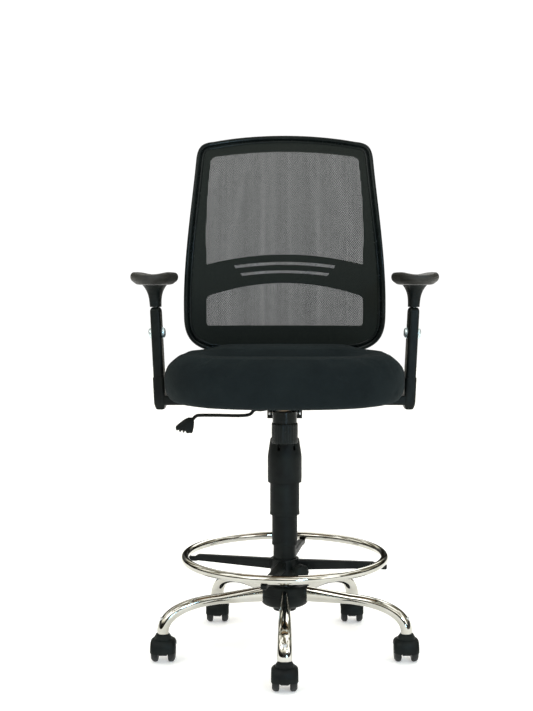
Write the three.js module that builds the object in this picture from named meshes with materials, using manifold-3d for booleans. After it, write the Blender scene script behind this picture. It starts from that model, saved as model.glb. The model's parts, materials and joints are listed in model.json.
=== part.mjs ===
// A drafting chair: five-star base on twin-wheel casters, gas lift with a telescopic cover, clamped
// foot ring, tilt mechanism with lever and tension knob, cushion, height-adjustable T-arms, mesh back.
// Millimetres, +Z up. The chair faces -Y, so the sitter's right is -X. The origin is on the floor,
// on the column's axis.
import * as THREE from "three";
import { mergeVertices } from "three/addons/utils/BufferGeometryUtils.js";
import Module from "manifold-3d";

const { PI, abs, cos, sin, sign, sqrt } = Math;
const RAD = PI / 180;

// ---- Driving dimensions ----------------------------------------------------------------------
const GAP = 0.3; // between pieces that touch
const RUN = 0.4; // radial clearance of a turning or sliding fit
const ROUND = 28; // sides of a turned piece

const LEG_COUNT = 5;
const CASTER_CIRCLE = 273; // radius of the circle of caster stems
const FIRST_LEG = -90; // degrees: one leg points forwards

const WHEEL_R = 25;
const WHEEL_W = 15;
const WHEEL_EDGE = 3.5; // rounding of the tread's edges
const WHEEL_SIDES = 24;
const WEB_T = 18; // caster body between its two wheels
const WHEEL_SIDE_GAP = 1.5;
const TRAIL = 14; // axle behind the stem
const AXLE_R = 3;
const FENDER_T = 2.6;
const FENDER_GAP = 1;
const FENDER_FROM = -8; // degrees above the axle, at the front
const FENDER_TO = 128;
const BOSS_R = 12;
const CASTER_TOP = 2 * WHEEL_R + 13.5; // top of the caster's boss
const STEM_R = 5.5;
const STEM_IN_BODY = 22;
const STEM_IN_LEG = 32;
const STEM_COLLAR_R = 8.5;
const STEM_COLLAR_T = 1.4;

const LEG_TIP_Z = CASTER_TOP + STEM_COLLAR_T + 2 * GAP;
const LEG_RISE = 65.5; // from the tip's underside to the leg's axis at the hub
const LEG_AXIS_Z = LEG_TIP_Z + LEG_RISE;
const LEG_STRAIGHT = 150; // radius where the leg starts to bend down
const LEG_ROOT = { width: 18, height: 36 };
const LEG_MIDDLE = { width: 24, height: 21 };
const LEG_TIP = { width: 31, height: 24 };

const TUBE_R = 25; // outer tube of the gas lift
const TUBE_WALL = 2;
const TUBE_LENGTH = 298;
const TUBE_FLOOR = 3;
const TUBE_BELOW_HUB = 9;
const HUB_WALL = 6;
const HUB_BELOW = 29; // hub sleeve below and above the legs' axis
const HUB_ABOVE = 20;
const COVER_WALL = 2.4; // hub cover
const COVER_R = TUBE_R + 29;
const COVER_EDGE = 15;
const CYLINDER_R = 14; // inner cylinder of the gas lift
const CYLINDER_WALL = 2;
const ROD_R = 5;
const PISTON_H = 14;
const BUSH_LENGTH = 78;

const LIFT_DOWN = 55; // travel of the lift below and above the pose modelled
const LIFT_UP = 80;
const TUBE_SPARE = 12; // cylinder above the tube's floor when fully down

const SLEEVE_WALL = 5.6; // foot ring's sleeve
const SLEEVE_Z = 167;
const SLEEVE_H = 39;
const RING_R = 218; // foot ring, middle of its tube
const RING_TUBE_R = 9.5;
const RING_Z = 209.5;
const SPOKE_COUNT = 4;
const FIRST_SPOKE = -11;
const SPOKE_W = 17;
const SPOKE_END_W = 13;
const SPOKE_H = 23;
const SPOKE_STEP_H = 14; // spoke just inside the ring, and its rise above the end's top
const SPOKE_STEP_UP = 5;
const SPOKE_END_H = 10;
const SPOKE_TOP = 2; // spoke below the sleeve's top
const KNOB_ANGLE = -56; // degrees, where the clamp knob points
const KNOB_Z = 186;
const KNOB_HEAD_R = 16;
const KNOB_HEAD_T = 20;
const KNOB_NECK = 22; // from the sleeve to the head
const KNOB_SCREW_R = 4;

const LOWER_R = TUBE_R + 3.1; // telescopic cover, outer radii
const MIDDLE_R = LOWER_R + 4.5;
const UPPER_R = MIDDLE_R + 4.9;
const TELE_WALL = 1.7;
const LOWER_Z = 236;
const MIDDLE_Z = 302;
const UPPER_Z = 373;
const LOWER_LENGTH = 114.5;
const MIDDLE_LENGTH = 119.5;
const LOWER_GRIP = 10; // stretch of the lower section that grips the column's tube
const UPPER_SKIRT = 58;
const CONE_H = 38;
const CONE_TOP_R = UPPER_R - 6;
const FINGER_COUNT = 6;
const FINGER_SLOT_W = 5;
const FINGER_SLOT_H = 24;
const FINGER_TURN = 8; // degrees
const COLLAR_H = 6;

const PLATE_Z = 556; // underside of the tilting seat plate
const PLATE_T = 3;
const PLATE_X = 100;
const PLATE_FRONT = 110;
const PLATE_REAR = 110;
const HOUSING_TOP = 538;
const HOUSING_H = 23;
const HOUSING_X = 38;
const HOUSING_REAR = 30;
const HOUSING_WALL = 2.5;
const NOSE_X = 25; // narrower front of the housing, between the plate's ears
const NOSE_FRONT = -51;
const NOSE_REAR = -26;
const LIP_T = 4; // lip that the tension spring presses up against
const LIP_FRONT = 106;
const LIP_BELOW_PLATE = 4;
const SOCKET_R = 21;
const SOCKET_Z = 505;
const SOCKET_BELOW = 2; // below the housing's edge
const VALVE_R = 4;
const VALVE_H = 5;
const PIVOT_Y = -40;
const PIVOT_Z = 529;
const PIVOT_R = 5;
const PIVOT_HALF = 35;
const EAR_X = 28;
const EAR_T = 3;
const EAR_HALF = 11;
const FLANGE_X = 42;
const FLANGE_T = 3;
const FLANGE_Z = 545;
const KNOB_Y = -82; // tension knob, with a cup for the spring on top
const CUP_R = 26;
const CUP_WALL = 3;
const CUP_RIM = 536;
const BOLT_R = 4;
const BOLT_SWING = 3.5; // room for the bolt in the lip as the seat tilts
const NUT_R = 9;
const NUT_T = 3;
const TENSION_KNOB_R = 28;
const TENSION_KNOB_H = 44;
const TENSION_KNOB_TOP = 513;
const SPRING_R = 16;
const SPRING_WIRE = 5;
const SPRING_TURNS = 3.5;
const SPRING_SIDES = 8;

const LEVER_Y = -19;
const LEVER_Z = 533; // lever's height where it leaves the housing
const LEVER_R = 3.6;
const LEVER_PLAY = 3.5; // round the lever, in the housing's side
const LEVER_LIFT = 2.4; // lever's inner end above the gas lift's valve
const LEVER_DROP_Z = 521; // and on its long straight
const LEVER_REACH = 193;
const PADDLE_W = 41;
const PADDLE_H = 34;
const PADDLE_T = 13;

const SEAT_HALF_W = 259;
const SEAT_FRONT = 243;
const SEAT_REAR = 207;
const SHELL_T = 12; // seat's plywood shell, inside the cushion's edge
const SHELL_X = SEAT_HALF_W - 47;
const SHELL_FRONT = SEAT_FRONT - 51;
const SHELL_REAR = SEAT_REAR - 37;
const SEAT_TOP = 657;
const SEAT_LIP = 554; // lowest edge of the cushion, at the front
const SEAT_SIDE_LIP = 563;

const ARM_X = SEAT_HALF_W + 15; // upright's middle at its foot
const ARM_Y = 20;
const ARM_LEAN = 3; // degrees outwards
const ARM_FOOT_Z = 531;
const ARM_T = 23;
const ARM_DEPTH = 56;
const SLEEVE_EXTRA = 1.5; // bracket's sleeve over the upright, each side
const ARM_SLEEVE_H = 71;
const BAR_T = 18;
const BAR_IN_X = 104;
const UPRIGHT_TOP_Z = 756.5;
const UPRIGHT_DOME = 11;
const SPIGOT_H = 50;
const SPIGOT_STEP = 3;
const BLADE_T = 8;
const BLADE_W = 38;
const BLADE_DOWN = 134;
const ARM_TRAVEL = 65;
const ARM_BOLT_Z = 699;
const ARM_BOLT_R = 4;
const ARM_BOLT_HEAD_R = 12;
const ARM_BOLT_HEAD_T = 7;
const PAD_Z = 806;
const PAD_T = 28;
const PAD_W = 98;
const PAD_LENGTH = 250;
const PAD_X = ARM_X + 14;
const NECK_TOP_W = 42;
const NECK_TOP_DEPTH = 110;

const BACK_Y = 220.4; // back panel's front at the lumbar, on the centre line
const LUMBAR_Z = 800;
const BACK_BOW = 4.2e-4; // curvature up the back and across it, per mm
const BACK_WRAP = 4.8e-4;
const BACK_BOTTOM = 636;
const BACK_TOP = 1168;
const BACK_HALF_W = 238;
const BACK_TOP_HALF_W = 212;
const BOTTOM_CORNER = { run: 58, rise: 84 };
const TOP_CORNER = { run: 42, rise: 44 };
const BOTTOM_SAG = 13;
const TOP_CROWN = 17;
const PANEL_T = 9;
const RIM_W = 12;
const RIM_FRONT = 9;
const RIM_REAR = 10;
const STRIP_W = 9; // mesh's sewn edge strip
const MESH_T = 1.6;
const MESH_LIFT = 5; // mesh in front of the panel
const WINDOW = { halfW: 185, topHalfW: 178, top: 1130, topCorner: 1104, cornerRun: 24 };
const BAND = { top: 878, topEnd: 854, bottom: 810, bottomEnd: 782, cornerRun: 16 };
const LOW_WINDOW = { halfW: 185, bottom: 708, corner: 8 };
const SLOTS = [
  { halfW: 121, middle: 857, end: 848, h: 7.4 },
  { halfW: 106, middle: 837, end: 829.5, h: 6.8 },
];
const BRACKET_T = 8; // steel bar that carries the back
const BRACKET_HALF_W = 35;
const BRACKET_TOP_HALF_W = 56;
const BRACKET_Y = 50;
const BRACKET_TOP = 700;
const BRACKET_BEND = 52;

// ---- Materials -------------------------------------------------------------------------------
const matter = (color, roughness, metalness = 0) =>
  new THREE.MeshStandardMaterial({ color, roughness, metalness });
const CHROME = matter(0xd8dadb, 0.12, 1);
const ZINC = matter(0xb9bdc0, 0.35, 1);
const BLACK_STEEL = matter(0x14181a, 0.45, 0.4);
const BLACK_PLASTIC = matter(0x17191a, 0.5);
const GLOSS_PLASTIC = matter(0x0f1213, 0.25);
const SOFT_PLASTIC = matter(0x22231f, 0.65);
const FABRIC = matter(0x1f2627, 0.95);
const MESH_CLOTH = matter(0x1b1b19, 0.9);
const PLYWOOD = matter(0x8f6f4a, 0.8);

// ---- Shape helpers ---------------------------------------------------------------------------
const wasm = await Module();
wasm.setup();

// A closed geometry as a manifold-3d solid.
function solid(geometry) {
  const bare = geometry.clone();
  for (const name of Object.keys(bare.attributes)) {
    if (name !== "position") bare.deleteAttribute(name);
  }
  const merged = mergeVertices(bare, 1e-4);
  const triVerts = new Uint32Array(merged.index.array);
  const vertProperties = merged.attributes.position.array;
  return new wasm.Manifold(new wasm.Mesh({ numProp: 3, vertProperties, triVerts }));
}

function geometryOf(made) {
  const mesh = made.getMesh();
  const geometry = new THREE.BufferGeometry();
  geometry.setAttribute("position", new THREE.BufferAttribute(mesh.vertProperties, 3));
  geometry.setIndex(new THREE.BufferAttribute(mesh.triVerts, 1));
  geometry.computeVertexNormals();
  return geometry;
}

const join = (...pieces) => pieces.map(solidOf).reduce((a, b) => a.add(b));
const cut = (body, ...tools) => tools.map(solidOf).reduce((a, b) => a.subtract(b), solidOf(body));
const common = (a, b) => solidOf(a).intersect(solidOf(b));
const solidOf = (shape) => (shape.isBufferGeometry ? solid(shape) : shape);

// Turns a closed outline of [radius, z] points, or one that starts and ends on the axis, about Z.
function revolve(profile, sides = ROUND) {
  const onAxis = profile[0][0] === 0 && profile.at(-1)[0] === 0;
  const loop = onAxis ? profile : [...profile, profile[0]];
  const area = loop.reduce((sum, [r, z], i) => {
    const [nextR, nextZ] = loop[(i + 1) % loop.length];
    return sum + r * nextZ - nextR * z;
  }, 0);
  const ordered = area > 0 ? loop : [...loop].reverse();
  const points = ordered.map(([r, z]) => new THREE.Vector2(r, z));
  return new THREE.LatheGeometry(points, sides).rotateX(PI / 2);
}

const rod = (radius, z0, z1, sides = ROUND) =>
  revolve([[0, z0], [radius, z0], [radius, z1], [0, z1]], sides);
const pipe = (inner, outer, z0, z1, sides = ROUND) =>
  revolve([[inner, z0], [outer, z0], [outer, z1], [inner, z1]], sides);

// A rod along X between two places.
const crossRod = (radius, x0, x1, y, z, sides = 16) =>
  rod(radius, x0, x1, sides).rotateY(PI / 2).translate(0, y, z);

function box(x0, x1, y0, y1, z0, z1) {
  const geometry = new THREE.BoxGeometry(x1 - x0, y1 - y0, z1 - z0);
  return geometry.translate((x0 + x1) / 2, (y0 + y1) / 2, (z0 + z1) / 2);
}

// A shape drawn in X and Z, made a prism along Y from y0 to y1.
function prismAlongY(shape, y0, y1, curveSegments = 6) {
  const options = { depth: y1 - y0, bevelEnabled: false, curveSegments };
  return new THREE.ExtrudeGeometry(shape, options).rotateX(PI / 2).translate(0, y1, 0);
}

// Points round a superellipse: power 2 is an ellipse, and more is squarer.
function oval(halfX, halfY, power = 2, count = 12) {
  return Array.from({ length: count }, (_, i) => {
    const turn = (2 * PI * (i + 0.5)) / count;
    const [c, s] = [cos(turn), sin(turn)];
    return [halfX * sign(c) * abs(c) ** (2 / power), halfY * sign(s) * abs(s) ** (2 / power)];
  });
}

// Skins a row of rings of points, each with as many points, and closes both ends.
function loft(rings) {
  const count = rings[0].length;
  const points = rings.flat();
  const faces = [];
  for (let i = 0; i < rings.length - 1; i++) {
    for (let j = 0; j < count; j++) {
      const [a, b] = [i * count + j, i * count + ((j + 1) % count)];
      faces.push([a, b, b + count], [a, b + count, a + count]);
    }
  }
  for (const [start, flip] of [[0, true], [(rings.length - 1) * count, false]]) {
    const middle = new THREE.Vector3();
    for (let j = 0; j < count; j++) middle.addScaledVector(points[start + j], 1 / count);
    const centre = points.push(middle) - 1;
    for (let j = 0; j < count; j++) {
      const [a, b] = [start + j, start + ((j + 1) % count)];
      faces.push(flip ? [b, a, centre] : [a, b, centre]);
    }
  }
  return closed(points, faces);
}

// A geometry from points and faces, turned so that its faces point out.
function closed(points, faces) {
  const product = new THREE.Vector3();
  const volume = faces.reduce((sum, [a, b, c]) => {
    return sum + points[a].dot(product.crossVectors(points[b], points[c]));
  }, 0);
  const index = faces.flatMap(([a, b, c]) => (volume > 0 ? [a, b, c] : [a, c, b]));
  const geometry = new THREE.BufferGeometry().setFromPoints(points).setIndex(index);
  geometry.computeVertexNormals();
  return geometry;
}

function piece(name, shape, material, group) {
  const mesh = new THREE.Mesh(shape.isBufferGeometry ? shape : geometryOf(shape), material);
  mesh.name = name;
  group.add(mesh);
  return mesh;
}

// ---- Five-star base --------------------------------------------------------------------------
const hubBottom = LEG_AXIS_Z - HUB_BELOW;
const hubTop = LEG_AXIS_Z + HUB_ABOVE;
const hubR = TUBE_R + RUN + HUB_WALL;
const legAngles = Array.from({ length: LEG_COUNT }, (_, i) => FIRST_LEG + (360 / LEG_COUNT) * i);

// The leg's axis in its own upright plane: level from the hub, then bending down to the tip.
function legAxis() {
  const path = new THREE.CurvePath();
  const start = new THREE.Vector2(TUBE_R + RUN + 1, LEG_AXIS_Z);
  const bend = new THREE.Vector2(LEG_STRAIGHT, LEG_AXIS_Z - 4);
  const tip = new THREE.Vector2(CASTER_CIRCLE, LEG_TIP_Z);
  const reach = CASTER_CIRCLE - LEG_STRAIGHT;
  const overBend = new THREE.Vector2(LEG_STRAIGHT + 0.53 * reach, LEG_AXIS_Z - 6);
  const overTip = new THREE.Vector2(CASTER_CIRCLE, LEG_TIP_Z + 43);
  path.add(new THREE.LineCurve(start, bend));
  path.add(new THREE.CubicBezierCurve(bend, overBend, overTip, tip));
  return path;
}

// One leg along +X, grown by a clearance on every side.
function leg(clearance = 0) {
  const path = legAxis();
  const steps = 9;
  const [straight, bent] = path.curves;
  const stations = [
    [straight, 0, LEG_ROOT, LEG_MIDDLE, 0],
    [straight, 0.5, LEG_ROOT, LEG_MIDDLE, 0.45],
    ...Array.from({ length: steps }, (_, i) => i / (steps - 1)).map((t) => [bent, t, LEG_MIDDLE, LEG_TIP, t]),
  ];
  const rings = stations.map(([curve, t, from, to, share]) => {
    const at = curve.getPoint(t);
    const along = curve.getTangent(t);
    const halfW = from.width / 2 + ((to.width - from.width) / 2) * share + clearance;
    const halfH = from.height / 2 + ((to.height - from.height) / 2) * share + clearance;
    return oval(halfW, halfH, 2.6, 12).map(
      ([side, up]) => new THREE.Vector3(at.x - along.y * up, side, at.y + along.x * up),
    );
  });
  return solid(loft(rings));
}

const roundTheHub = (shape, angle) => shape.rotate([0, 0, angle]);

function starBase() {
  const legs = legAngles.map((angle) => roundTheHub(leg(), angle));
  const sleeve = pipe(TUBE_R + RUN, hubR, hubBottom, hubTop);
  const socket = rod(STEM_R + GAP, LEG_TIP_Z - 1, LEG_TIP_Z + STEM_IN_LEG + GAP, 12);
  const sockets = legAngles.map((angle) =>
    roundTheHub(solid(socket.clone().translate(CASTER_CIRCLE, 0, 0)), angle),
  );
  const bore = rod(TUBE_R + RUN, hubBottom - 1, hubTop + 1);
  return cut(join(sleeve, ...legs), bore, ...sockets);
}

// The black cover round the hub, with a passage for each leg.
function hubCover() {
  const [low, high] = [hubBottom + 1, hubTop - 1];
  const inner = hubR + 1;
  const wall = COVER_WALL;
  const corner = COVER_EDGE * (1 - sqrt(0.5));
  const shell = revolve([
    [inner, low],
    [COVER_R - COVER_EDGE, low],
    [COVER_R - corner, low + corner],
    [COVER_R, low + COVER_EDGE],
    [COVER_R, high - 3],
    [COVER_R - 3, high],
    [inner, high],
    [inner, high - wall],
    [COVER_R - wall - 1, high - wall],
    [COVER_R - wall, high - wall - 2],
    [COVER_R - wall, low + COVER_EDGE],
    [COVER_R - wall - corner, low + corner + wall],
    [COVER_R - COVER_EDGE, low + wall],
    [inner, low + wall],
  ], 30);
  return cut(shell, ...legAngles.map((angle) => roundTheHub(leg(GAP), angle)));
}

// ---- Casters ---------------------------------------------------------------------------------
const wheelInner = WEB_T / 2 + WHEEL_SIDE_GAP;
const casterHalf = wheelInner + WHEEL_W + 0.5;

// Flat facets at the wheel's radius, so that it stands on the floor.
function wheel() {
  const facet = WHEEL_R / cos(PI / WHEEL_SIDES);
  const edge = facet - WHEEL_EDGE;
  const tyre = revolve([
    [0, wheelInner],
    [edge, wheelInner],
    [facet, wheelInner + WHEEL_EDGE],
    [facet, wheelInner + WHEEL_W - WHEEL_EDGE],
    [edge, wheelInner + WHEEL_W],
    [0, wheelInner + WHEEL_W],
  ], WHEEL_SIDES).rotateZ(PI / WHEEL_SIDES);
  const bore = rod(AXLE_R + GAP, wheelInner - 1, wheelInner + WHEEL_W - 4, 12);
  return geometryOf(cut(tyre, bore)).rotateY(PI / 2);
}

// Web between the wheels, fender over them and boss for the stem.
function casterBody() {
  const fenderR = WHEEL_R + FENDER_GAP + FENDER_T;
  const at = (radius, angle) => [TRAIL - radius * cos(angle * RAD), WHEEL_R + radius * sin(angle * RAD)];
  const sector = (radius, from, to, inner) => {
    const steps = 8;
    const arc = Array.from({ length: steps + 1 }, (_, i) => at(radius, from + ((to - from) * i) / steps));
    const back = inner
      ? Array.from({ length: steps + 1 }, (_, i) => at(inner, to - ((to - from) * i) / steps))
      : [[TRAIL, WHEEL_R - AXLE_R - 3]];
    return new THREE.Shape([...arc, ...back].map(([y, z]) => new THREE.Vector2(y, z)));
  };
  const acrossX = (shape, half) =>
    new THREE.ExtrudeGeometry(shape, { depth: 2 * half, bevelEnabled: false })
      .rotateX(PI / 2)
      .rotateZ(PI / 2)
      .translate(-half, 0, 0);
  const web = acrossX(sector(fenderR, FENDER_FROM, FENDER_TO), WEB_T / 2);
  const fender = acrossX(sector(fenderR, FENDER_FROM, FENDER_TO, WHEEL_R + FENDER_GAP), casterHalf);
  const boss = rod(BOSS_R, WHEEL_R + 12, CASTER_TOP, 16);
  const wheelRoom = crossRod(WHEEL_R + FENDER_GAP, -casterHalf - 1, casterHalf + 1, TRAIL, WHEEL_R, 32);
  const keep = box(-WEB_T / 2, WEB_T / 2, -60, 60, 0, 80);
  const lowBoss = cut(wheelRoom, keep);
  const stemBore = rod(STEM_R + GAP, CASTER_TOP - STEM_IN_BODY - GAP, CASTER_TOP + 1, 12);
  const axleBore = crossRod(AXLE_R + GAP, -casterHalf, casterHalf, TRAIL, WHEEL_R, 12);
  return geometryOf(cut(cut(join(web, fender, boss), lowBoss), stemBore, axleBore));
}

const casterStem = () => revolve([
  [0, CASTER_TOP - STEM_IN_BODY],
  [STEM_R, CASTER_TOP - STEM_IN_BODY],
  [STEM_R, CASTER_TOP + GAP],
  [STEM_COLLAR_R, CASTER_TOP + GAP],
  [STEM_COLLAR_R, CASTER_TOP + GAP + STEM_COLLAR_T],
  [STEM_R, CASTER_TOP + GAP + STEM_COLLAR_T],
  [STEM_R, LEG_TIP_Z + STEM_IN_LEG],
  [0, LEG_TIP_Z + STEM_IN_LEG],
], 12);

function casters() {
  const group = new THREE.Group();
  const axleHalf = wheelInner + WHEEL_W - 4 - GAP;
  const shapes = {
    stem: casterStem(),
    body: casterBody(),
    axle: crossRod(AXLE_R, -axleHalf, axleHalf, 0, 0, 12),
    wheel: wheel(),
  };
  legAngles.forEach((angle, i) => {
    const caster = new THREE.Group();
    caster.position.set(CASTER_CIRCLE * cos(angle * RAD), CASTER_CIRCLE * sin(angle * RAD), 0);
    piece(`caster_stem_${i + 1}`, shapes.stem, ZINC, caster);
    piece(`caster_body_${i + 1}`, shapes.body, BLACK_PLASTIC, caster);
    const running = new THREE.Group();
    running.position.set(0, TRAIL, WHEEL_R);
    piece(`caster_axle_${i + 1}`, shapes.axle, ZINC, running);
    piece(`wheel_left_${i + 1}`, shapes.wheel, BLACK_PLASTIC, running);
    piece(`wheel_right_${i + 1}`, shapes.wheel, BLACK_PLASTIC, running).rotation.z = PI;
    caster.add(running);
    group.add(caster);
  });
  return group;
}

// ---- Gas lift and its telescopic cover -------------------------------------------------------
const tubeBottom = hubBottom - TUBE_BELOW_HUB;
const tubeTop = tubeBottom + TUBE_LENGTH;
const rodBottom = tubeBottom - 5;
const cylinderBottom = tubeBottom + TUBE_FLOOR + TUBE_SPARE + LIFT_DOWN;
const pistonTop = cylinderBottom + LIFT_UP + CYLINDER_WALL + 4 + PISTON_H;
const socketTop = HOUSING_TOP - SOCKET_BELOW;
const cylinderTop = socketTop - 4;
const valveTop = cylinderTop + VALVE_H;
const bearingTop = tubeBottom + TUBE_FLOOR + GAP + 6;

function gasLift() {
  const group = new THREE.Group();
  const inner = TUBE_R - TUBE_WALL;
  const rodHole = ROD_R + RUN;
  piece("column_tube", revolve([
    [rodHole, tubeBottom],
    [TUBE_R, tubeBottom],
    [TUBE_R, tubeTop],
    [inner, tubeTop],
    [inner, tubeBottom + TUBE_FLOOR],
    [rodHole, tubeBottom + TUBE_FLOOR],
  ]), BLACK_STEEL, group);
  const bushTop = tubeTop - GAP;
  const bush = pipe(CYLINDER_R + RUN, inner - GAP, bushTop - BUSH_LENGTH, bushTop, 24);
  piece("column_bushing", bush, SOFT_PLASTIC, group);
  const bearing = pipe(rodHole, 13, tubeBottom + TUBE_FLOOR + GAP, bearingTop, 20);
  piece("thrust_bearing", bearing, ZINC, group);
  piece("piston_rod", revolve([
    [0, rodBottom],
    [ROD_R + 4, rodBottom],
    [ROD_R + 4, tubeBottom - GAP],
    [ROD_R, tubeBottom - GAP],
    [ROD_R, pistonTop - PISTON_H],
    [CYLINDER_R - CYLINDER_WALL - RUN, pistonTop - PISTON_H],
    [CYLINDER_R - CYLINDER_WALL - RUN, pistonTop],
    [0, pistonTop],
  ], 20), ZINC, group);
  piece("gas_cylinder", revolve([
    [rodHole, cylinderBottom],
    [CYLINDER_R, cylinderBottom],
    [CYLINDER_R, cylinderTop],
    [VALVE_R, cylinderTop],
    [VALVE_R, valveTop],
    [0, valveTop],
    [0, SOCKET_Z],
    [CYLINDER_R - CYLINDER_WALL, SOCKET_Z],
    [CYLINDER_R - CYLINDER_WALL, cylinderBottom + CYLINDER_WALL],
    [rodHole, cylinderBottom + CYLINDER_WALL],
  ], 24), BLACK_STEEL, group);
  return group;
}

function telescopicCover() {
  const group = new THREE.Group();
  const wall = TELE_WALL;
  piece("cover_lower", revolve([
    [TUBE_R + GAP, LOWER_Z],
    [LOWER_R, LOWER_Z],
    [LOWER_R, LOWER_Z + LOWER_LENGTH],
    [LOWER_R - wall, LOWER_Z + LOWER_LENGTH],
    [LOWER_R - wall, LOWER_Z + LOWER_GRIP],
    [TUBE_R + GAP, LOWER_Z + LOWER_GRIP],
  ]), BLACK_PLASTIC, group);
  const middle = pipe(MIDDLE_R - wall, MIDDLE_R, MIDDLE_Z, MIDDLE_Z + MIDDLE_LENGTH);
  piece("cover_middle", middle, BLACK_PLASTIC, group);
  const coneZ = UPPER_Z + UPPER_SKIRT;
  const topZ = coneZ + CONE_H;
  const shell = revolve([
    [UPPER_R - wall, UPPER_Z],
    [UPPER_R, UPPER_Z],
    [UPPER_R, coneZ],
    [CONE_TOP_R, topZ],
    [CONE_TOP_R - wall, topZ],
    [UPPER_R - wall, coneZ],
  ]);
  const webZ = topZ - FINGER_SLOT_H + 8;
  const web = pipe(CYLINDER_R + GAP, CONE_TOP_R + 1, webZ, webZ + wall);
  const collar = pipe(CYLINDER_R + GAP, CYLINDER_R + GAP + 3, webZ, webZ + COLLAR_H);
  const [reach, half] = [UPPER_R + 3, FINGER_SLOT_W / 2];
  const slots = Array.from({ length: FINGER_COUNT / 2 }, (_, i) => {
    const slot = box(-reach, reach, -half, half, topZ - FINGER_SLOT_H, topZ + 1);
    return slot.rotateZ((i * 2 * PI) / FINGER_COUNT + FINGER_TURN * RAD);
  });
  const keep = rod(CONE_TOP_R - wall - 2, UPPER_Z, topZ + 2);
  const upper = join(cut(shell, ...slots.map((slot) => cut(slot, keep))), web, collar);
  piece("cover_upper", upper, BLACK_PLASTIC, group);
  return group;
}

// ---- Foot ring -------------------------------------------------------------------------------
const sleeveR = TUBE_R + RUN + SLEEVE_WALL;
const sleeveTop = SLEEVE_Z + SLEEVE_H;
const spokeEndTop = RING_Z - RING_TUBE_R - GAP;

// A bar that tapers from the sleeve, steps down and ends below the ring's tube.
function spoke(angle) {
  const section = (r, halfW, low, high) => [
    new THREE.Vector3(r, -halfW, low),
    new THREE.Vector3(r, halfW, low),
    new THREE.Vector3(r, halfW, high),
    new THREE.Vector3(r, -halfW, high),
  ];
  const top = sleeveTop - SPOKE_TOP;
  const end = RING_R + RING_TUBE_R - 1;
  const stepR = RING_R - RING_TUBE_R - SPOKE_STEP_UP - 3;
  const stepTop = spokeEndTop + SPOKE_STEP_UP;
  return loft([
    section(TUBE_R + RUN + 1, SPOKE_W / 2, top - SPOKE_H, top),
    section(stepR, SPOKE_END_W / 2 + 0.5, stepTop - SPOKE_STEP_H, stepTop),
    section(stepR + SPOKE_STEP_UP, SPOKE_END_W / 2, spokeEndTop - SPOKE_END_H, spokeEndTop),
    section(end, SPOKE_END_W / 2, spokeEndTop - SPOKE_END_H, spokeEndTop),
  ]).rotateZ(angle * RAD);
}

function footRing() {
  const group = new THREE.Group();
  const ring = new THREE.TorusGeometry(RING_R, RING_TUBE_R, 10, 48).translate(0, 0, RING_Z);
  piece("foot_ring", ring, CHROME, group);
  const sleeve = pipe(TUBE_R + RUN, sleeveR, SLEEVE_Z, sleeveTop);
  const spokes = Array.from({ length: SPOKE_COUNT }, (_, i) => spoke(FIRST_SPOKE + (360 / SPOKE_COUNT) * i));
  const bore = rod(TUBE_R + RUN, SLEEVE_Z - 1, sleeveTop + 1);
  const screwHole = alongKnob(rod(KNOB_SCREW_R + GAP, TUBE_R, sleeveR + 6, 12));
  piece("ring_spider", cut(join(sleeve, ...spokes), bore, screwHole), BLACK_STEEL, group);
  const neckEnd = sleeveR + KNOB_NECK;
  const screw = rod(KNOB_SCREW_R, TUBE_R + RUN + GAP, neckEnd + 1, 12);
  const neck = rod(KNOB_HEAD_R * 0.55, sleeveR + 8, neckEnd + 1, 16);
  const head = lobedDisc(KNOB_HEAD_R, 5, 1.6, KNOB_HEAD_T, 30).translate(0, 0, neckEnd);
  piece("ring_knob", join(screw, neck, head).transform(knobMatrix()), BLACK_PLASTIC, group);
  return group;
}

// Carries a shape modelled along Z to the clamp knob's axis.
function knobMatrix() {
  const matrix = new THREE.Matrix4().makeTranslation(0, 0, KNOB_Z);
  matrix.multiply(new THREE.Matrix4().makeRotationZ(KNOB_ANGLE * RAD));
  return matrix.multiply(new THREE.Matrix4().makeRotationY(PI / 2)).elements;
}

const alongKnob = (geometry) =>
  geometry.applyMatrix4(new THREE.Matrix4().fromArray(knobMatrix()));

// A disc with rounded lobes for the fingers.
function lobedDisc(radius, lobes, depth, thickness, count) {
  const outline = Array.from({ length: count }, (_, i) => {
    const turn = (2 * PI * i) / count;
    const r = radius - (depth / 2) * (1 - cos(lobes * turn));
    return new THREE.Vector2(r * cos(turn), r * sin(turn));
  });
  const options = { depth: thickness - 3, bevelEnabled: true, bevelThickness: 1.5, bevelSize: 1.5 };
  Object.assign(options, { bevelOffset: -1.5, bevelSegments: 1 });
  return new THREE.ExtrudeGeometry(new THREE.Shape(outline), options).translate(0, 0, 1.5);
}

// ---- Tilt mechanism --------------------------------------------------------------------------
const housingZ = HOUSING_TOP - HOUSING_H;
const lipTop = PLATE_Z - LIP_BELOW_PLATE;

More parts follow.
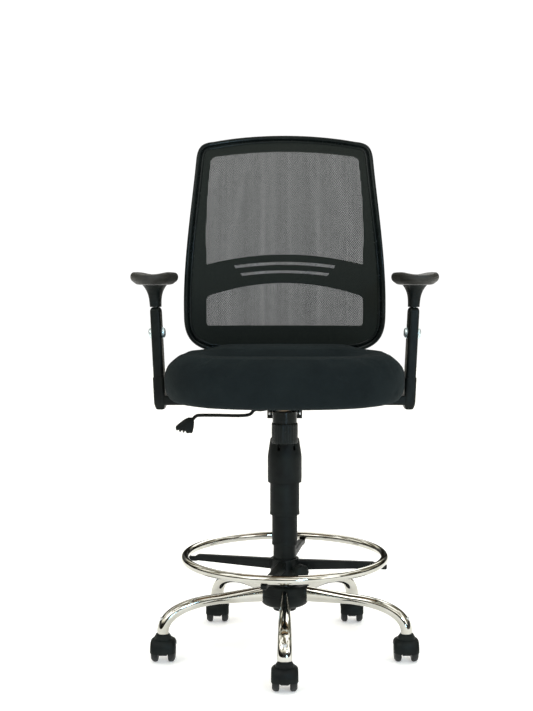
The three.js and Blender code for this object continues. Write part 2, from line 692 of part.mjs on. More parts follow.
// An open tray round the column's socket, with a narrow nose whose front wall carries the lip.
function housing() {
  const wall = HOUSING_WALL;
  const tray = (halfX, front, rear) => cut(
    box(-halfX, halfX, front, rear, housingZ, HOUSING_TOP),
    box(-halfX + wall, halfX - wall, front + wall, rear - wall, housingZ + wall, HOUSING_TOP + 1),
  );
  const body = tray(HOUSING_X, NOSE_REAR, HOUSING_REAR);
  const nose = tray(NOSE_X, NOSE_FRONT, NOSE_REAR + wall);
  const riser = box(-NOSE_X, NOSE_X, NOSE_FRONT, NOSE_FRONT + LIP_T, housingZ, lipTop);
  const lip = box(-NOSE_X, NOSE_X, -LIP_FRONT, NOSE_FRONT + 1, lipTop - LIP_T, lipTop);
  const socket = rod(SOCKET_R, SOCKET_Z, socketTop);
  const slotHalf = BOLT_R + 1;
  const slotY = [KNOB_Y - slotHalf, KNOB_Y + slotHalf + BOLT_SWING];
  const boltSlot = box(-slotHalf, slotHalf, ...slotY, lipTop - LIP_T - 1, lipTop + 1);
  const columnBore = rod(CYLINDER_R + GAP, SOCKET_Z - 1, cylinderTop + GAP);
  const valveHole = rod(VALVE_R + 2, SOCKET_Z, HOUSING_TOP + 1, 16);
  const pinHole = crossRod(PIVOT_R + RUN, -NOSE_X - 1, NOSE_X + 1, PIVOT_Y, PIVOT_Z);
  const leverX = [-HOUSING_X - 1, -HOUSING_X + wall + 1];
  const leverHole = crossRod(LEVER_R + LEVER_PLAY, ...leverX, LEVER_Y, LEVER_Z + 2.5);
  return cut(join(body, nose, riser, lip, socket), boltSlot, columnBore, valveHole, pinHole, leverHole);
}

// The plate under the seat, with two ears on the pivot pin, a flange down each side and the nut
// that the tension bolt turns in.
function seatPlate() {
  const top = PLATE_Z + PLATE_T;
  const plate = box(-PLATE_X, PLATE_X, -PLATE_FRONT, PLATE_REAR, PLATE_Z, top);
  const onBothSides = (x, thickness, y1, low) => [1, -1].map((side) => {
    const [x0, x1] = [side * x, side * (x + thickness)].sort((a, b) => a - b);
    return box(x0, x1, PIVOT_Y - EAR_HALF, y1, low, top);
  });
  const ears = onBothSides(EAR_X, EAR_T, PIVOT_Y + EAR_HALF, PIVOT_Z - EAR_HALF);
  const flanges = onBothSides(FLANGE_X, FLANGE_T, PLATE_REAR, FLANGE_Z);
  const nut = rod(NUT_R, PLATE_Z - NUT_T, top, 6).translate(0, KNOB_Y, 0);
  const pinHole = crossRod(PIVOT_R + GAP, -EAR_X - EAR_T - 1, EAR_X + EAR_T + 1, PIVOT_Y, PIVOT_Z);
  const boltHole = rod(BOLT_R + RUN, PLATE_Z - NUT_T - 1, top + 1, 12).translate(0, KNOB_Y, 0);
  return cut(join(plate, ...ears, ...flanges, nut), pinHole, boltHole);
}

// The hand knob, its cup round the spring and its bolt up to the seat plate's nut.
function tensionKnob() {
  const floor = TENSION_KNOB_TOP;
  const head = lobedDisc(TENSION_KNOB_R, 12, 1, TENSION_KNOB_H, 48).translate(0, 0, floor - TENSION_KNOB_H);
  const cup = pipe(CUP_R - CUP_WALL, CUP_R, floor - 1, CUP_RIM);
  const bolt = rod(BOLT_R, floor - 2, PLATE_Z + PLATE_T - 1, 12);
  return join(head, cup, bolt).translate([0, KNOB_Y, 0]);
}

// A round wire along a curve.
function wireAlong(extrudePath, radius, sides, steps) {
  const outline = oval(radius, radius, 2, sides).map(([x, y]) => new THREE.Vector2(x, y));
  return new THREE.ExtrudeGeometry(new THREE.Shape(outline), { steps, extrudePath });
}

class Helix extends THREE.Curve {
  constructor(radius, rise, turns) {
    super();
    Object.assign(this, { radius, rise, turns });
  }

  getPoint(t) {
    const turn = 2 * PI * this.turns * t;
    return new THREE.Vector3(this.radius * cos(turn), this.radius * sin(turn), this.rise * t);
  }
}

function tensionSpring() {
  const low = TENSION_KNOB_TOP + GAP + 0.3 + SPRING_WIRE / 2;
  const rise = lipTop - LIP_T - GAP - 0.3 - SPRING_WIRE / 2 - low;
  const coil = new Helix(SPRING_R, rise, SPRING_TURNS);
  const steps = 2 * SPRING_SIDES * SPRING_TURNS;
  return wireAlong(coil, SPRING_WIRE / 2, 6, steps).translate(0, KNOB_Y, low);
}

// The lever's bent rod, from over the gas lift's valve to the paddle on its end.
function lever(group) {
  const inner = valveTop + LEVER_LIFT + LEVER_R;
  const points = [
    [0, 0, inner],
    [-12, -7, inner + 0.6],
    [-27, -17, inner - 2],
    [-HOUSING_X + 3, LEVER_Y, LEVER_Z + 3],
    [-HOUSING_X - 14, LEVER_Y, LEVER_Z],
    [-HOUSING_X - 28, LEVER_Y, LEVER_Z - 0.5],
    [-HOUSING_X - 46, LEVER_Y, LEVER_DROP_Z],
    [-LEVER_REACH + 12, LEVER_Y, LEVER_DROP_Z],
    [-LEVER_REACH, LEVER_Y, LEVER_DROP_Z - 1.5],
    [-LEVER_REACH - 9, LEVER_Y, LEVER_DROP_Z - 10],
    [-LEVER_REACH - 17, LEVER_Y, LEVER_DROP_Z - 20],
  ].map(([x, y, z]) => new THREE.Vector3(x, y, z));
  const route = new THREE.CatmullRomCurve3(points, false, "catmullrom", 0.3);
  const end = route.getPoint(1).addScaledVector(route.getTangent(1), 1);
  const pastEnd = new THREE.CatmullRomCurve3([...points, end], false, "catmullrom", 0.3);
  piece("lever_rod", wireAlong(route, LEVER_R, 8, 40), BLACK_STEEL, group);
  const right = -LEVER_REACH - 5;
  const left = right - PADDLE_W;
  const top = LEVER_DROP_Z - 5;
  const shape = new THREE.Shape();
  shape.moveTo(right, top - 6);
  shape.quadraticCurveTo(right - 3, top + 1, right - 12, top);
  shape.quadraticCurveTo(left + 12, top - 8, left + 2, top - 16);
  shape.quadraticCurveTo(left - 2, top - 25, left + 6, top - PADDLE_H + 7);
  shape.quadraticCurveTo(left + 22, top - PADDLE_H + 2, right - 7, top - PADDLE_H);
  shape.quadraticCurveTo(right - 1, top - PADDLE_H + 4, right, top - 6);
  const paddle = prismAlongY(shape, LEVER_Y - PADDLE_T / 2, LEVER_Y + PADDLE_T / 2, 4);
  piece("lever_handle", cut(paddle, wireAlong(pastEnd, LEVER_R + GAP, 8, 80)), BLACK_PLASTIC, group);
}

function mechanism() {
  const group = new THREE.Group();
  piece("mechanism_housing", housing(), BLACK_STEEL, group);
  piece("pivot_pin", crossRod(PIVOT_R, -PIVOT_HALF, PIVOT_HALF, PIVOT_Y, PIVOT_Z), ZINC, group);
  piece("tension_spring", tensionSpring(), ZINC, group);
  piece("tension_knob", tensionKnob(), GLOSS_PLASTIC, group);
  piece("seat_plate", seatPlate(), BLACK_STEEL, group);
  lever(group);
  return group;
}

// ---- Seat ------------------------------------------------------------------------------------
const shellZ = PLATE_Z + PLATE_T + GAP;

function seatShell(clearance = 0) {
  const middleY = (SHELL_REAR - SHELL_FRONT) / 2;
  const halfY = (SHELL_REAR + SHELL_FRONT) / 2 + clearance;
  const outline = oval(SHELL_X + clearance, halfY, 5, 24);
  const ring = (z) => outline.map(([x, y]) => new THREE.Vector3(x, y + middleY, z));
  return loft([ring(shellZ - 20 * sign(clearance)), ring(shellZ + SHELL_T + clearance)]);
}

// A crowned cushion that hangs a little over the shell's edge, lowest at the front.
function seatCushion() {
  const count = 28;
  const levels = [
    { inset: 36, z: null },
    { inset: 9, z: SEAT_SIDE_LIP + 14 },
    { inset: 0, z: SEAT_TOP - 52 },
    { inset: 5, z: SEAT_TOP - 27 },
    { inset: 24, z: SEAT_TOP - 8 },
    { inset: 62, z: SEAT_TOP },
  ];
  const middleY = (SEAT_REAR - SEAT_FRONT) / 2;
  const halfY = (SEAT_REAR + SEAT_FRONT) / 2;
  const rings = levels.map(({ inset, z }) =>
    oval(SEAT_HALF_W - inset, halfY - inset, 3.2, count).map(([x, y]) => {
      const front = Math.max(0, -y / halfY) ** 2;
      const lip = SEAT_SIDE_LIP - (SEAT_SIDE_LIP - SEAT_LIP) * front;
      return new THREE.Vector3(x, y + middleY, z ?? lip);
    }),
  );
  return cut(loft(rings), seatShell(GAP + 0.2));
}

function seat() {
  const group = new THREE.Group();
  piece("seat_shell", seatShell(), PLYWOOD, group);
  piece("seat_cushion", seatCushion(), FABRIC, group);
  return group;
}

// ---- Arms ------------------------------------------------------------------------------------
const lean = Math.tan(ARM_LEAN * RAD);
const armX = (z) => ARM_X + (z - ARM_FOOT_Z) * lean; // upright's middle at a height

// A post of rounded rectangles between levels of { z, width, depth, x }, leaning with the arm.
function post(levels, power = 5, count = 16) {
  return loft(levels.map(({ z, width, depth, x = armX(z) }) =>
    oval(width / 2, depth / 2, power, count).map(([dx, dy]) => new THREE.Vector3(x + dx, ARM_Y + dy, z)),
  ));
}

const spigot = (clearance, low, high) => {
  const less = 2 * (SPIGOT_STEP - clearance);
  const size = { width: ARM_T - less, depth: ARM_DEPTH - less };
  return post([{ z: low, ...size }, { z: high, ...size }]);
};
const blade = (clearance, low, high) => {
  const size = { width: BLADE_T + 2 * clearance, depth: BLADE_W + 2 * clearance };
  return post([{ z: low, ...size }, { z: high, ...size }], 12, 8);
};

function armBracket() {
  const sleeveTopZ = ARM_FOOT_Z + ARM_SLEEVE_H;
  const width = ARM_T + 2 * SLEEVE_EXTRA;
  const depth = ARM_DEPTH + 2 * SLEEVE_EXTRA;
  const foot = post([
    { z: ARM_FOOT_Z, width: width - 12, depth: depth - 14 },
    { z: ARM_FOOT_Z + 3, width: width - 5, depth: depth - 6 },
    { z: ARM_FOOT_Z + 9, width, depth },
    { z: sleeveTopZ, width, depth },
  ]);
  const barTop = shellZ - GAP;
  const barEnd = armX(barTop);
  const halfY = ARM_DEPTH / 2;
  const bar = box(BAR_IN_X, barEnd, ARM_Y - halfY, ARM_Y + halfY, barTop - BAR_T, barTop);
  const gusset = new THREE.Shape();
  gusset.moveTo(barEnd, barTop - BAR_T - 4);
  gusset.quadraticCurveTo(barEnd - 18, barTop - BAR_T, barEnd - 26, barTop - BAR_T + 1);
  gusset.lineTo(barEnd - 12, barTop - 1);
  gusset.lineTo(barEnd, barTop);
  const corner = prismAlongY(gusset, ARM_Y - halfY + 2, ARM_Y + halfY - 2, 3);
  const room = spigot(GAP, sleeveTopZ - SPIGOT_H - 1, sleeveTopZ + 1);
  return cut(join(foot, bar, corner), room);
}

function armUpright() {
  const low = ARM_FOOT_Z + ARM_SLEEVE_H + GAP;
  const shoulder = UPRIGHT_TOP_Z - UPRIGHT_DOME;
  const full = { width: ARM_T, depth: ARM_DEPTH };
  const tube = post([
    { z: low, ...full },
    { z: shoulder, ...full },
    { z: shoulder + 0.7 * UPRIGHT_DOME, width: ARM_T * 0.72, depth: ARM_DEPTH - 4 },
    { z: UPRIGHT_TOP_Z, width: ARM_T * 0.5, depth: ARM_DEPTH - 9 },
  ]);
  const room = blade(RUN, UPRIGHT_TOP_Z - BLADE_DOWN - 5, UPRIGHT_TOP_Z + 2);
  const boltHole = alongArmBolt(crossRod(ARM_BOLT_R + GAP, -ARM_T, ARM_T, 0, 0, 12));
  return cut(join(tube, spigot(0, low - SPIGOT_H, low + 1)), room, boltHole);
}

// The flared neck, and the steel blade below it with a slot for the clamp bolt.
function armNeck() {
  const low = UPRIGHT_TOP_Z + 0.6;
  const high = PAD_Z - GAP;
  const rise = high - low;
  const flare = post([
    { z: low, width: ARM_T, depth: ARM_DEPTH },
    { z: low + 0.45 * rise, width: ARM_T + 3, depth: ARM_DEPTH + 4 },
    { z: low + 0.8 * rise, width: ARM_T + 11, depth: ARM_DEPTH + 22 },
    { z: high, width: NECK_TOP_W, depth: NECK_TOP_DEPTH, x: PAD_X },
  ], 4);
  const steel = blade(0, UPRIGHT_TOP_Z - BLADE_DOWN, low + 12);
  const slotHalf = ARM_BOLT_R + 0.6;
  const [slotLow, slotHigh] = [ARM_BOLT_Z - ARM_TRAVEL - slotHalf, ARM_BOLT_Z + slotHalf];
  const slot = box(PAD_X - 60, PAD_X + 60, ARM_Y - slotHalf, ARM_Y + slotHalf, slotLow, slotHigh);
  return cut(join(flare, steel), slot);
}

function armPad() {
  const levels = [
    { z: PAD_Z, inset: 12 },
    { z: PAD_Z + 5, inset: 1.5 },
    { z: PAD_Z + 0.5 * PAD_T, inset: 0 },
    { z: PAD_Z + PAD_T - 5, inset: 3 },
    { z: PAD_Z + PAD_T, inset: 12 },
  ];
  return loft(levels.map(({ z, inset }) =>
    oval(PAD_W / 2 - inset, PAD_LENGTH / 2 - inset, 3.4, 20).map(
      ([x, y]) => new THREE.Vector3(PAD_X + x, ARM_Y + y, z),
    ),
  ));
}

// Carries a shape modelled along X to the clamp bolt's axis, square to the leaning upright.
const alongArmBolt = (geometry) =>
  geometry.rotateY(ARM_LEAN * RAD).translate(armX(ARM_BOLT_Z), ARM_Y, ARM_BOLT_Z);

function armBolt() {
  const face = ARM_T / 2 + GAP + 0.3;
  const shank = crossRod(ARM_BOLT_R, -face - 1, face + 1, 0, 0, 12);
  const heads = [-1, 1].map((side) =>
    revolve([
      [0, face],
      [ARM_BOLT_HEAD_R, face],
      [ARM_BOLT_HEAD_R, face + ARM_BOLT_HEAD_T - 2.5],
      [ARM_BOLT_HEAD_R - 3, face + ARM_BOLT_HEAD_T],
      [0, face + ARM_BOLT_HEAD_T],
    ], 18).rotateY((side * PI) / 2),
  );
  return alongArmBolt(geometryOf(join(shank, ...heads)));
}

// The arm on the sitter's left, or its mirror image on the right.
function arm(side) {
  const group = new THREE.Group();
  group.scale.x = side;
  const name = side > 0 ? "left" : "right";
  piece(`arm_bracket_${name}`, armBracket(), BLACK_STEEL, group);
  piece(`arm_upright_${name}`, armUpright(), BLACK_STEEL, group);
  piece(`arm_neck_${name}`, armNeck(), BLACK_PLASTIC, group);
  piece(`arm_pad_${name}`, armPad(), SOFT_PLASTIC, group);
  piece(`arm_bolt_${name}`, armBolt(), CHROME, group);
  return group;
}

// ---- Back ------------------------------------------------------------------------------------
const backY = (x, z) => BACK_Y + BACK_BOW * (z - LUMBAR_Z) ** 2 - BACK_WRAP * x ** 2;

// A curved slab between two distances behind the back's surface, wider than the back itself.
function backSlab(front, rear) {
  const [columns, rows, margin] = [12, 11, 8];
  const points = [];
  for (const depth of [front, rear]) {
    for (let i = 0; i <= columns; i++) {
      for (let j = 0; j <= rows; j++) {
        const x = (BACK_HALF_W + margin) * ((2 * i) / columns - 1);
        const z = BACK_BOTTOM - margin + (BACK_TOP - BACK_BOTTOM + 2 * margin) * (j / rows);
        points.push(new THREE.Vector3(x, backY(x, z) + depth, z));
      }
    }
  }
  const at = (layer, i, j) => (layer * (columns + 1) + i) * (rows + 1) + j;
  const faces = [];
  const quad = (a, b, c, d) => faces.push([a, b, c], [a, c, d]);
  for (let i = 0; i < columns; i++) {
    for (let j = 0; j < rows; j++) {
      quad(at(0, i, j), at(0, i + 1, j), at(0, i + 1, j + 1), at(0, i, j + 1));
      const [a, b, c, d] = [at(1, i, j), at(1, i, j + 1), at(1, i + 1, j + 1), at(1, i + 1, j)];
      faces.push([a, b, c], [a, c, d]);
    }
    quad(at(1, i, 0), at(1, i + 1, 0), at(0, i + 1, 0), at(0, i, 0));
    quad(at(0, i, rows), at(0, i + 1, rows), at(1, i + 1, rows), at(1, i, rows));
  }
  for (let j = 0; j < rows; j++) {
    quad(at(0, 0, j), at(0, 0, j + 1), at(1, 0, j + 1), at(1, 0, j));
    quad(at(1, columns, j), at(1, columns, j + 1), at(0, columns, j + 1), at(0, columns, j));
  }
  return closed(points, faces);
}

// The back's outline seen from the front, moved in by an inset.
function backOutline(inset) {
  const [half, topHalf] = [BACK_HALF_W - inset, BACK_TOP_HALF_W - inset];
  const [bottom, top] = [BACK_BOTTOM + inset, BACK_TOP - inset];
  const less = 0.5 * inset;
  const low = { x: half - BOTTOM_CORNER.run + less, z: bottom + BOTTOM_SAG };
  const sideLow = { x: half, z: low.z + BOTTOM_CORNER.rise - less };
  const high = { x: topHalf - TOP_CORNER.run + less, z: top - TOP_CROWN };
  const sideHigh = { x: topHalf, z: high.z - TOP_CORNER.rise + less };
  const sideRise = sideHigh.z - sideLow.z;
  const shape = new THREE.Shape();
  const onSide = (m) => (ax, az, bx, bz, x, z) => shape.bezierCurveTo(m * ax, az, m * bx, bz, m * x, z);
  const right = onSide(1);
  const left = onSide(-1);
  shape.moveTo(0, bottom);
  right(0.5 * low.x, bottom, 0.8 * low.x, low.z - 6, low.x, low.z);
  right(low.x + 0.7 * (half - low.x), low.z + 12, half, sideLow.z - 50, half, sideLow.z);
  right(half + 3, sideLow.z + 0.33 * sideRise, topHalf + 8, sideHigh.z - 0.3 * sideRise, topHalf, sideHigh.z);
  right(topHalf - 3, high.z - 12, topHalf - 14, high.z - 3, high.x, high.z);
  right(0.7 * high.x, high.z + 0.65 * TOP_CROWN, 0.35 * high.x, top, 0, top);
  left(0.35 * high.x, top, 0.7 * high.x, high.z + 0.65 * TOP_CROWN, high.x, high.z);
  left(topHalf - 14, high.z - 3, topHalf - 3, high.z - 12, topHalf, sideHigh.z);
  left(topHalf + 8, sideHigh.z - 0.3 * sideRise, half + 3, sideLow.z + 0.33 * sideRise, half, sideLow.z);
  left(half, sideLow.z - 50, low.x + 0.7 * (half - low.x), low.z + 12, low.x, low.z);
  left(0.8 * low.x, low.z - 6, 0.5 * low.x, bottom, 0, bottom);
  return shape;
}

// The control height of a symmetrical quadratic arc from its middle and end heights.
const archControl = (middle, end) => 2 * middle - end;

function upperWindow() {
  const { halfW, topHalfW, top, topCorner, cornerRun } = WINDOW;
  const shape = new THREE.Shape();
  shape.moveTo(-halfW, BAND.topEnd);
  shape.quadraticCurveTo(0, archControl(BAND.top, BAND.topEnd), halfW, BAND.topEnd);
  shape.quadraticCurveTo(halfW + 6, (BAND.topEnd + topCorner) / 2, topHalfW, topCorner);
  shape.quadraticCurveTo(topHalfW - 2, topCorner + 12, topHalfW - cornerRun, topCorner + 14);
  shape.quadraticCurveTo(0, archControl(top, topCorner + 14), -topHalfW + cornerRun, topCorner + 14);
  shape.quadraticCurveTo(-topHalfW + 2, topCorner + 12, -topHalfW, topCorner);
  shape.quadraticCurveTo(-halfW - 6, (BAND.topEnd + topCorner) / 2, -halfW, BAND.topEnd);
  return shape;
}

function lowerWindow() {
  const { halfW, bottom, corner } = LOW_WINDOW;
  const inner = halfW - BAND.cornerRun;
  const shape = new THREE.Shape();
  shape.moveTo(-halfW + corner, bottom);
  shape.lineTo(halfW - corner, bottom);
  shape.quadraticCurveTo(halfW, bottom, halfW + 1, bottom + corner + 6);
  shape.lineTo(halfW, BAND.bottomEnd - 12);
  shape.quadraticCurveTo(halfW - 2, BAND.bottomEnd - 3, inner, BAND.bottomEnd);
  shape.quadraticCurveTo(0, archControl(BAND.bottom, BAND.bottomEnd), -inner, BAND.bottomEnd);
  shape.quadraticCurveTo(-halfW + 2, BAND.bottomEnd - 3, -halfW, BAND.bottomEnd - 12);
  shape.lineTo(-halfW - 1, bottom + corner + 6);
  shape.quadraticCurveTo(-halfW, bottom, -halfW + corner, bottom);
  return shape;
}

function slotShape({ halfW, middle, end, h }) {
  const shape = new THREE.Shape();
  shape.moveTo(-halfW, end - h / 2);
  shape.quadraticCurveTo(0, archControl(middle, end) - h / 2, halfW, end - h / 2);
  shape.lineTo(halfW + 3, end);
  shape.lineTo(halfW, end + h / 2);
  shape.quadraticCurveTo(0, archControl(middle, end) + h / 2, -halfW, end + h / 2);
  shape.lineTo(-halfW - 3, end);
  return shape;
}

const throughBack = (shape, segments) => prismAlongY(shape, BACK_Y - 150, BACK_Y + 150, segments);

function backFrame() {
  const panel = common(backSlab(0, PANEL_T), throughBack(backOutline(RIM_W / 2), 6));
  const windows = [upperWindow(), lowerWindow(), ...SLOTS.map(slotShape)];
  const ring = cut(throughBack(backOutline(0), 6), throughBack(backOutline(RIM_W), 6));
  const rim = common(backSlab(-RIM_FRONT, RIM_REAR), ring);
  return join(cut(panel, ...windows.map((shape) => throughBack(shape, 7))), rim);
}

// The stretched mesh with the strip sewn round its edge, which lies in the frame's rim.
function backMesh() {
  const sheet = common(backSlab(-MESH_LIFT - MESH_T, -MESH_LIFT), throughBack(backOutline(RIM_W + GAP), 6));
  const inside = throughBack(backOutline(RIM_W + STRIP_W), 6);
  const ring = cut(throughBack(backOutline(RIM_W + GAP), 6), inside);
  return join(sheet, common(backSlab(-MESH_LIFT - MESH_T, -GAP), ring));
}

// A flat steel bar from the seat plate's channel, bent up behind the seat to the back.
function backBracket() {
  const flatZ = PLATE_Z - GAP - BRACKET_T / 2;
  const behind = (z) => backY(0, z) + Math.max(PANEL_T, RIM_REAR) + GAP + BRACKET_T / 2 + 0.5;
  const standY = behind(BACK_BOTTOM) + 2;
  const bendEnd = flatZ + BRACKET_BEND + 6;
  const path = new THREE.CurvePath();
  const point = (y, z) => new THREE.Vector2(y, z);
  path.add(new THREE.LineCurve(point(BRACKET_Y, flatZ), point(standY - BRACKET_BEND, flatZ)));
  path.add(new THREE.QuadraticBezierCurve(
    point(standY - BRACKET_BEND, flatZ), point(standY, flatZ), point(standY, bendEnd),
  ));
  path.add(new THREE.LineCurve(point(standY, bendEnd), point(behind(BRACKET_TOP), BRACKET_TOP)));
  const stations = [[0, 0], [0, 1], [1, 0.25], [1, 0.5], [1, 0.75], [2, 0], [2, 0.4], [2, 1]];
  const rings = stations.map(([leg_, t]) => {
    const at = path.curves[leg_].getPoint(t);
    const along = path.curves[leg_].getTangent(t);
    const spread = leg_ === 2 ? Math.min(1, t / 0.4) : 0;
    const half = BRACKET_HALF_W + (BRACKET_TOP_HALF_W - BRACKET_HALF_W) * spread;
    const across = BRACKET_T / 2;
    return [[-half, -across], [half, -across], [half, across], [-half, across]].map(
      ([x, n]) => new THREE.Vector3(x, at.x - along.y * n, at.y + along.x * n),
    );
  });
  return loft(rings);
}

function back() {
  const group = new THREE.Group();
  piece("back_frame", backFrame(), GLOSS_PLASTIC, group);
  piece("back_mesh", backMesh(), MESH_CLOTH, group);
  piece("back_bracket", backBracket(), BLACK_STEEL, group);
  return group;
}

// ---- The chair -------------------------------------------------------------------------------
const chair = new THREE.Group();
piece("star_base", starBase(), CHROME, chair);
piece("hub_cover", hubCover(), BLACK_PLASTIC, chair);
chair.add(casters(), gasLift(), telescopicCover(), footRing(), mechanism(), seat(), arm(1), arm(-1), back());

export default chair;
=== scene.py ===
import json

import bmesh
import bpy
import numpy as np
from mathutils.geometry import delaunay_2d_cdt
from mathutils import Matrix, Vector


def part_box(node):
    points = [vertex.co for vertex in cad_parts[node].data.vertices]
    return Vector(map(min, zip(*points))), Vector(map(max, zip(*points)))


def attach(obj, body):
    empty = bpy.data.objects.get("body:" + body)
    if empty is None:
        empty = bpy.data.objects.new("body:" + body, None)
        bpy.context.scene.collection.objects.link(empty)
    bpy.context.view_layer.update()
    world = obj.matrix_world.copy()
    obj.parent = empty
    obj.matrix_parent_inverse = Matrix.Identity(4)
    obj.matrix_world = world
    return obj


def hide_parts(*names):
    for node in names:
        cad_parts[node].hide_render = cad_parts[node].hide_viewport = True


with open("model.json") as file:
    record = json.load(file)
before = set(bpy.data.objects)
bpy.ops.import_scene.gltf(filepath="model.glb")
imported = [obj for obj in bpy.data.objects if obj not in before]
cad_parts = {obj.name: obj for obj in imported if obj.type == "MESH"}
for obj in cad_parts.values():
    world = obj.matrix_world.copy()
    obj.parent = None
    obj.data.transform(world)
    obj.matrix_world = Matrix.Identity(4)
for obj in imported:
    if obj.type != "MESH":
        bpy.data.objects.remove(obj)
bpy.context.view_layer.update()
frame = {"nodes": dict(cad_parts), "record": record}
MM = 0.001
TAU = 2 * np.pi


def box(node):
    """A CAD node's lowest and highest corners, as arrays."""
    low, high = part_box(node)
    return np.array(low), np.array(high)


def middle(node):
    low, high = box(node)
    return (low + high) / 2


# ---- Camera ----------------------------------------------------------------------------------
CAMERA_BACK = 2647 * MM
CAMERA_HEIGHT = 809 * MM


def make_camera():
    """A level camera in front of the chair, with the frame slid down and to the side to hold all of it."""
    lens = bpy.data.cameras.new("camera")
    lens.lens = 60.9
    lens.sensor_width = 36
    lens.shift_x = -0.0256
    lens.shift_y = -0.1014
    camera = bpy.data.objects.new("camera", lens)
    camera.location = (0, -CAMERA_BACK, CAMERA_HEIGHT)
    camera.rotation_euler = (np.pi / 2, 0, 0)
    bpy.context.scene.collection.objects.link(camera)
    bpy.context.scene.camera = camera


# ---- Finishes --------------------------------------------------------------------------------
def new_finish(name, roughness, metallic=0.0):
    """A material with its node tree and its Principled shader."""
    finish = bpy.data.materials.new(name)
    finish.use_nodes = True
    tree = finish.node_tree
    shader = tree.nodes["Principled BSDF"]
    shader.inputs["Roughness"].default_value = roughness
    shader.inputs["Metallic"].default_value = metallic
    return finish, tree, shader


def place(tree, source="Object"):
    return tree.nodes.new("ShaderNodeTexCoord").outputs[source]


def noise(tree, scale, detail=3.0, source="Object"):
    """Noise whose grains are about 1/scale metres across."""
    node = tree.nodes.new("ShaderNodeTexNoise")
    node.inputs["Scale"].default_value = scale
    node.inputs["Detail"].default_value = detail
    tree.links.new(place(tree, source), node.inputs["Vector"])
    return node.outputs["Fac"]


def between(tree, factor, low, high, start=0.3, end=0.7):
    """A colour that runs from low to high as the factor goes from start to end."""
    ramp = tree.nodes.new("ShaderNodeValToRGB")
    ramp.color_ramp.elements[0].position = start
    ramp.color_ramp.elements[1].position = end
    ramp.color_ramp.elements[0].color = (*low, 1)
    ramp.color_ramp.elements[1].color = (*high, 1)
    tree.links.new(factor, ramp.inputs["Fac"])
    return ramp.outputs["Color"]


def spread(tree, factor, low, high):
    """A number that runs from low to high as the factor goes from 0.3 to 0.7."""
    node = tree.nodes.new("ShaderNodeMapRange")
    node.inputs["From Min"].default_value = 0.3
    node.inputs["From Max"].default_value = 0.7
    node.inputs["To Min"].default_value = low
    node.inputs["To Max"].default_value = high
    tree.links.new(factor, node.inputs["Value"])
    return node.outputs["Result"]


def maths(tree, operation, *values):
    """A calculation on sockets and plain numbers."""
    node = tree.nodes.new("ShaderNodeMath")
    node.operation = operation
    for socket, value in zip(node.inputs, values):
        if isinstance(value, (int, float)):
            socket.default_value = value
        else:
            tree.links.new(value, socket)
    return node.outputs["Value"]


def tinted(tree, shader, factor, low, high):
    """The base colour runs from low to high with the factor."""
    tree.links.new(between(tree, factor, low, high), shader.inputs["Base Color"])


def relief(tree, shader, height, depth):
    """Bumps as deep as depth in metres where height runs from 0 to 1."""
    bump = tree.nodes.new("ShaderNodeBump")
    bump.inputs["Distance"].default_value = depth
    tree.links.new(height, bump.inputs["Height"])
    tree.links.new(bump.outputs["Normal"], shader.inputs["Normal"])


def grained(name, roughness, tint, low, high, wear=None, bumps=None, metallic=0.0, shine=None):
    """A finish whose colour, roughness and bumps each follow a noise of their own. tint, wear and bumps
    start with that noise's scale and detail; wear goes on with the least and greatest roughness, and
    bumps with their depth in millimetres."""
    finish, tree, shader = new_finish(name, roughness, metallic)
    tinted(tree, shader, noise(tree, *tint), low, high)
    if wear:
        tree.links.new(spread(tree, noise(tree, *wear[:2]), *wear[2:]), shader.inputs["Roughness"])
    if shine:
        shader.inputs["Specular IOR Level"].default_value = shine
    if bumps:
        relief(tree, shader, noise(tree, *bumps[:2]), bumps[2] * MM)
    return finish


def soft_touch():
    """Skinned polyurethane: dark, soft sheen, fine leathery grain."""
    finish = grained("soft_touch", 0.55, (50, 3), (0.010, 0.010, 0.008), (0.021, 0.020, 0.016),
                     wear=(300, 3, 0.42, 0.62), shine=0.35)
    tree = finish.node_tree
    cells = tree.nodes.new("ShaderNodeTexVoronoi")
    cells.feature = "DISTANCE_TO_EDGE"
    cells.inputs["Scale"].default_value = 900
    tree.links.new(place(tree), cells.inputs["Vector"])
    relief(tree, tree.nodes["Principled BSDF"], cells.outputs["Distance"], 0.25 * MM)
    return finish


def upholstery():
    """Fine crepe weave in the piece's own UV map, in metres: two sets of threads that cross over and
    under, slubs in the yarn, a cloudy tone that varies at random, and painted shade that darkens the
    colour in the weave's hollows."""
    finish, tree, shader = new_finish("upholstery", 0.9)
    split = tree.nodes.new("ShaderNodeSeparateXYZ")
    tree.links.new(place(tree, "UV"), split.inputs["Vector"])
    pitch = 1.5 * MM
    across = maths(tree, "SINE", maths(tree, "MULTIPLY", split.outputs["X"], TAU / pitch))
    along = maths(tree, "SINE", maths(tree, "MULTIPLY", split.outputs["Y"], TAU / pitch))
    crossing = maths(tree, "MULTIPLY", across, along)
    weave = maths(tree, "MULTIPLY_ADD", crossing, 0.5, 0.5)
    slubs = noise(tree, 900, 3)
    height = maths(tree, "MULTIPLY_ADD", slubs, 0.9, weave)
    # Painted shade: a random cloudy tone plus the weave's height, so the colour is darker in the hollows
    # between threads and lighter on the raised threads and slubs.
    tone_and_hollow_shade = maths(tree, "MULTIPLY_ADD", noise(tree, 14, 4), 0.55, maths(tree, "MULTIPLY", height, 0.3))
    colour = between(tree, tone_and_hollow_shade, (0.003, 0.005, 0.006), (0.011, 0.016, 0.017), 0.25, 0.85)
    tree.links.new(colour, shader.inputs["Base Color"])
    shader.inputs["Sheen Weight"].default_value = 0.025
    shader.inputs["Sheen Roughness"].default_value = 0.5
    shader.inputs["Sheen Tint"].default_value = (0.7, 0.9, 0.9, 1)
    shader.inputs["Specular IOR Level"].default_value = 0.09
    relief(tree, shader, height, 0.35 * MM)
    return finish


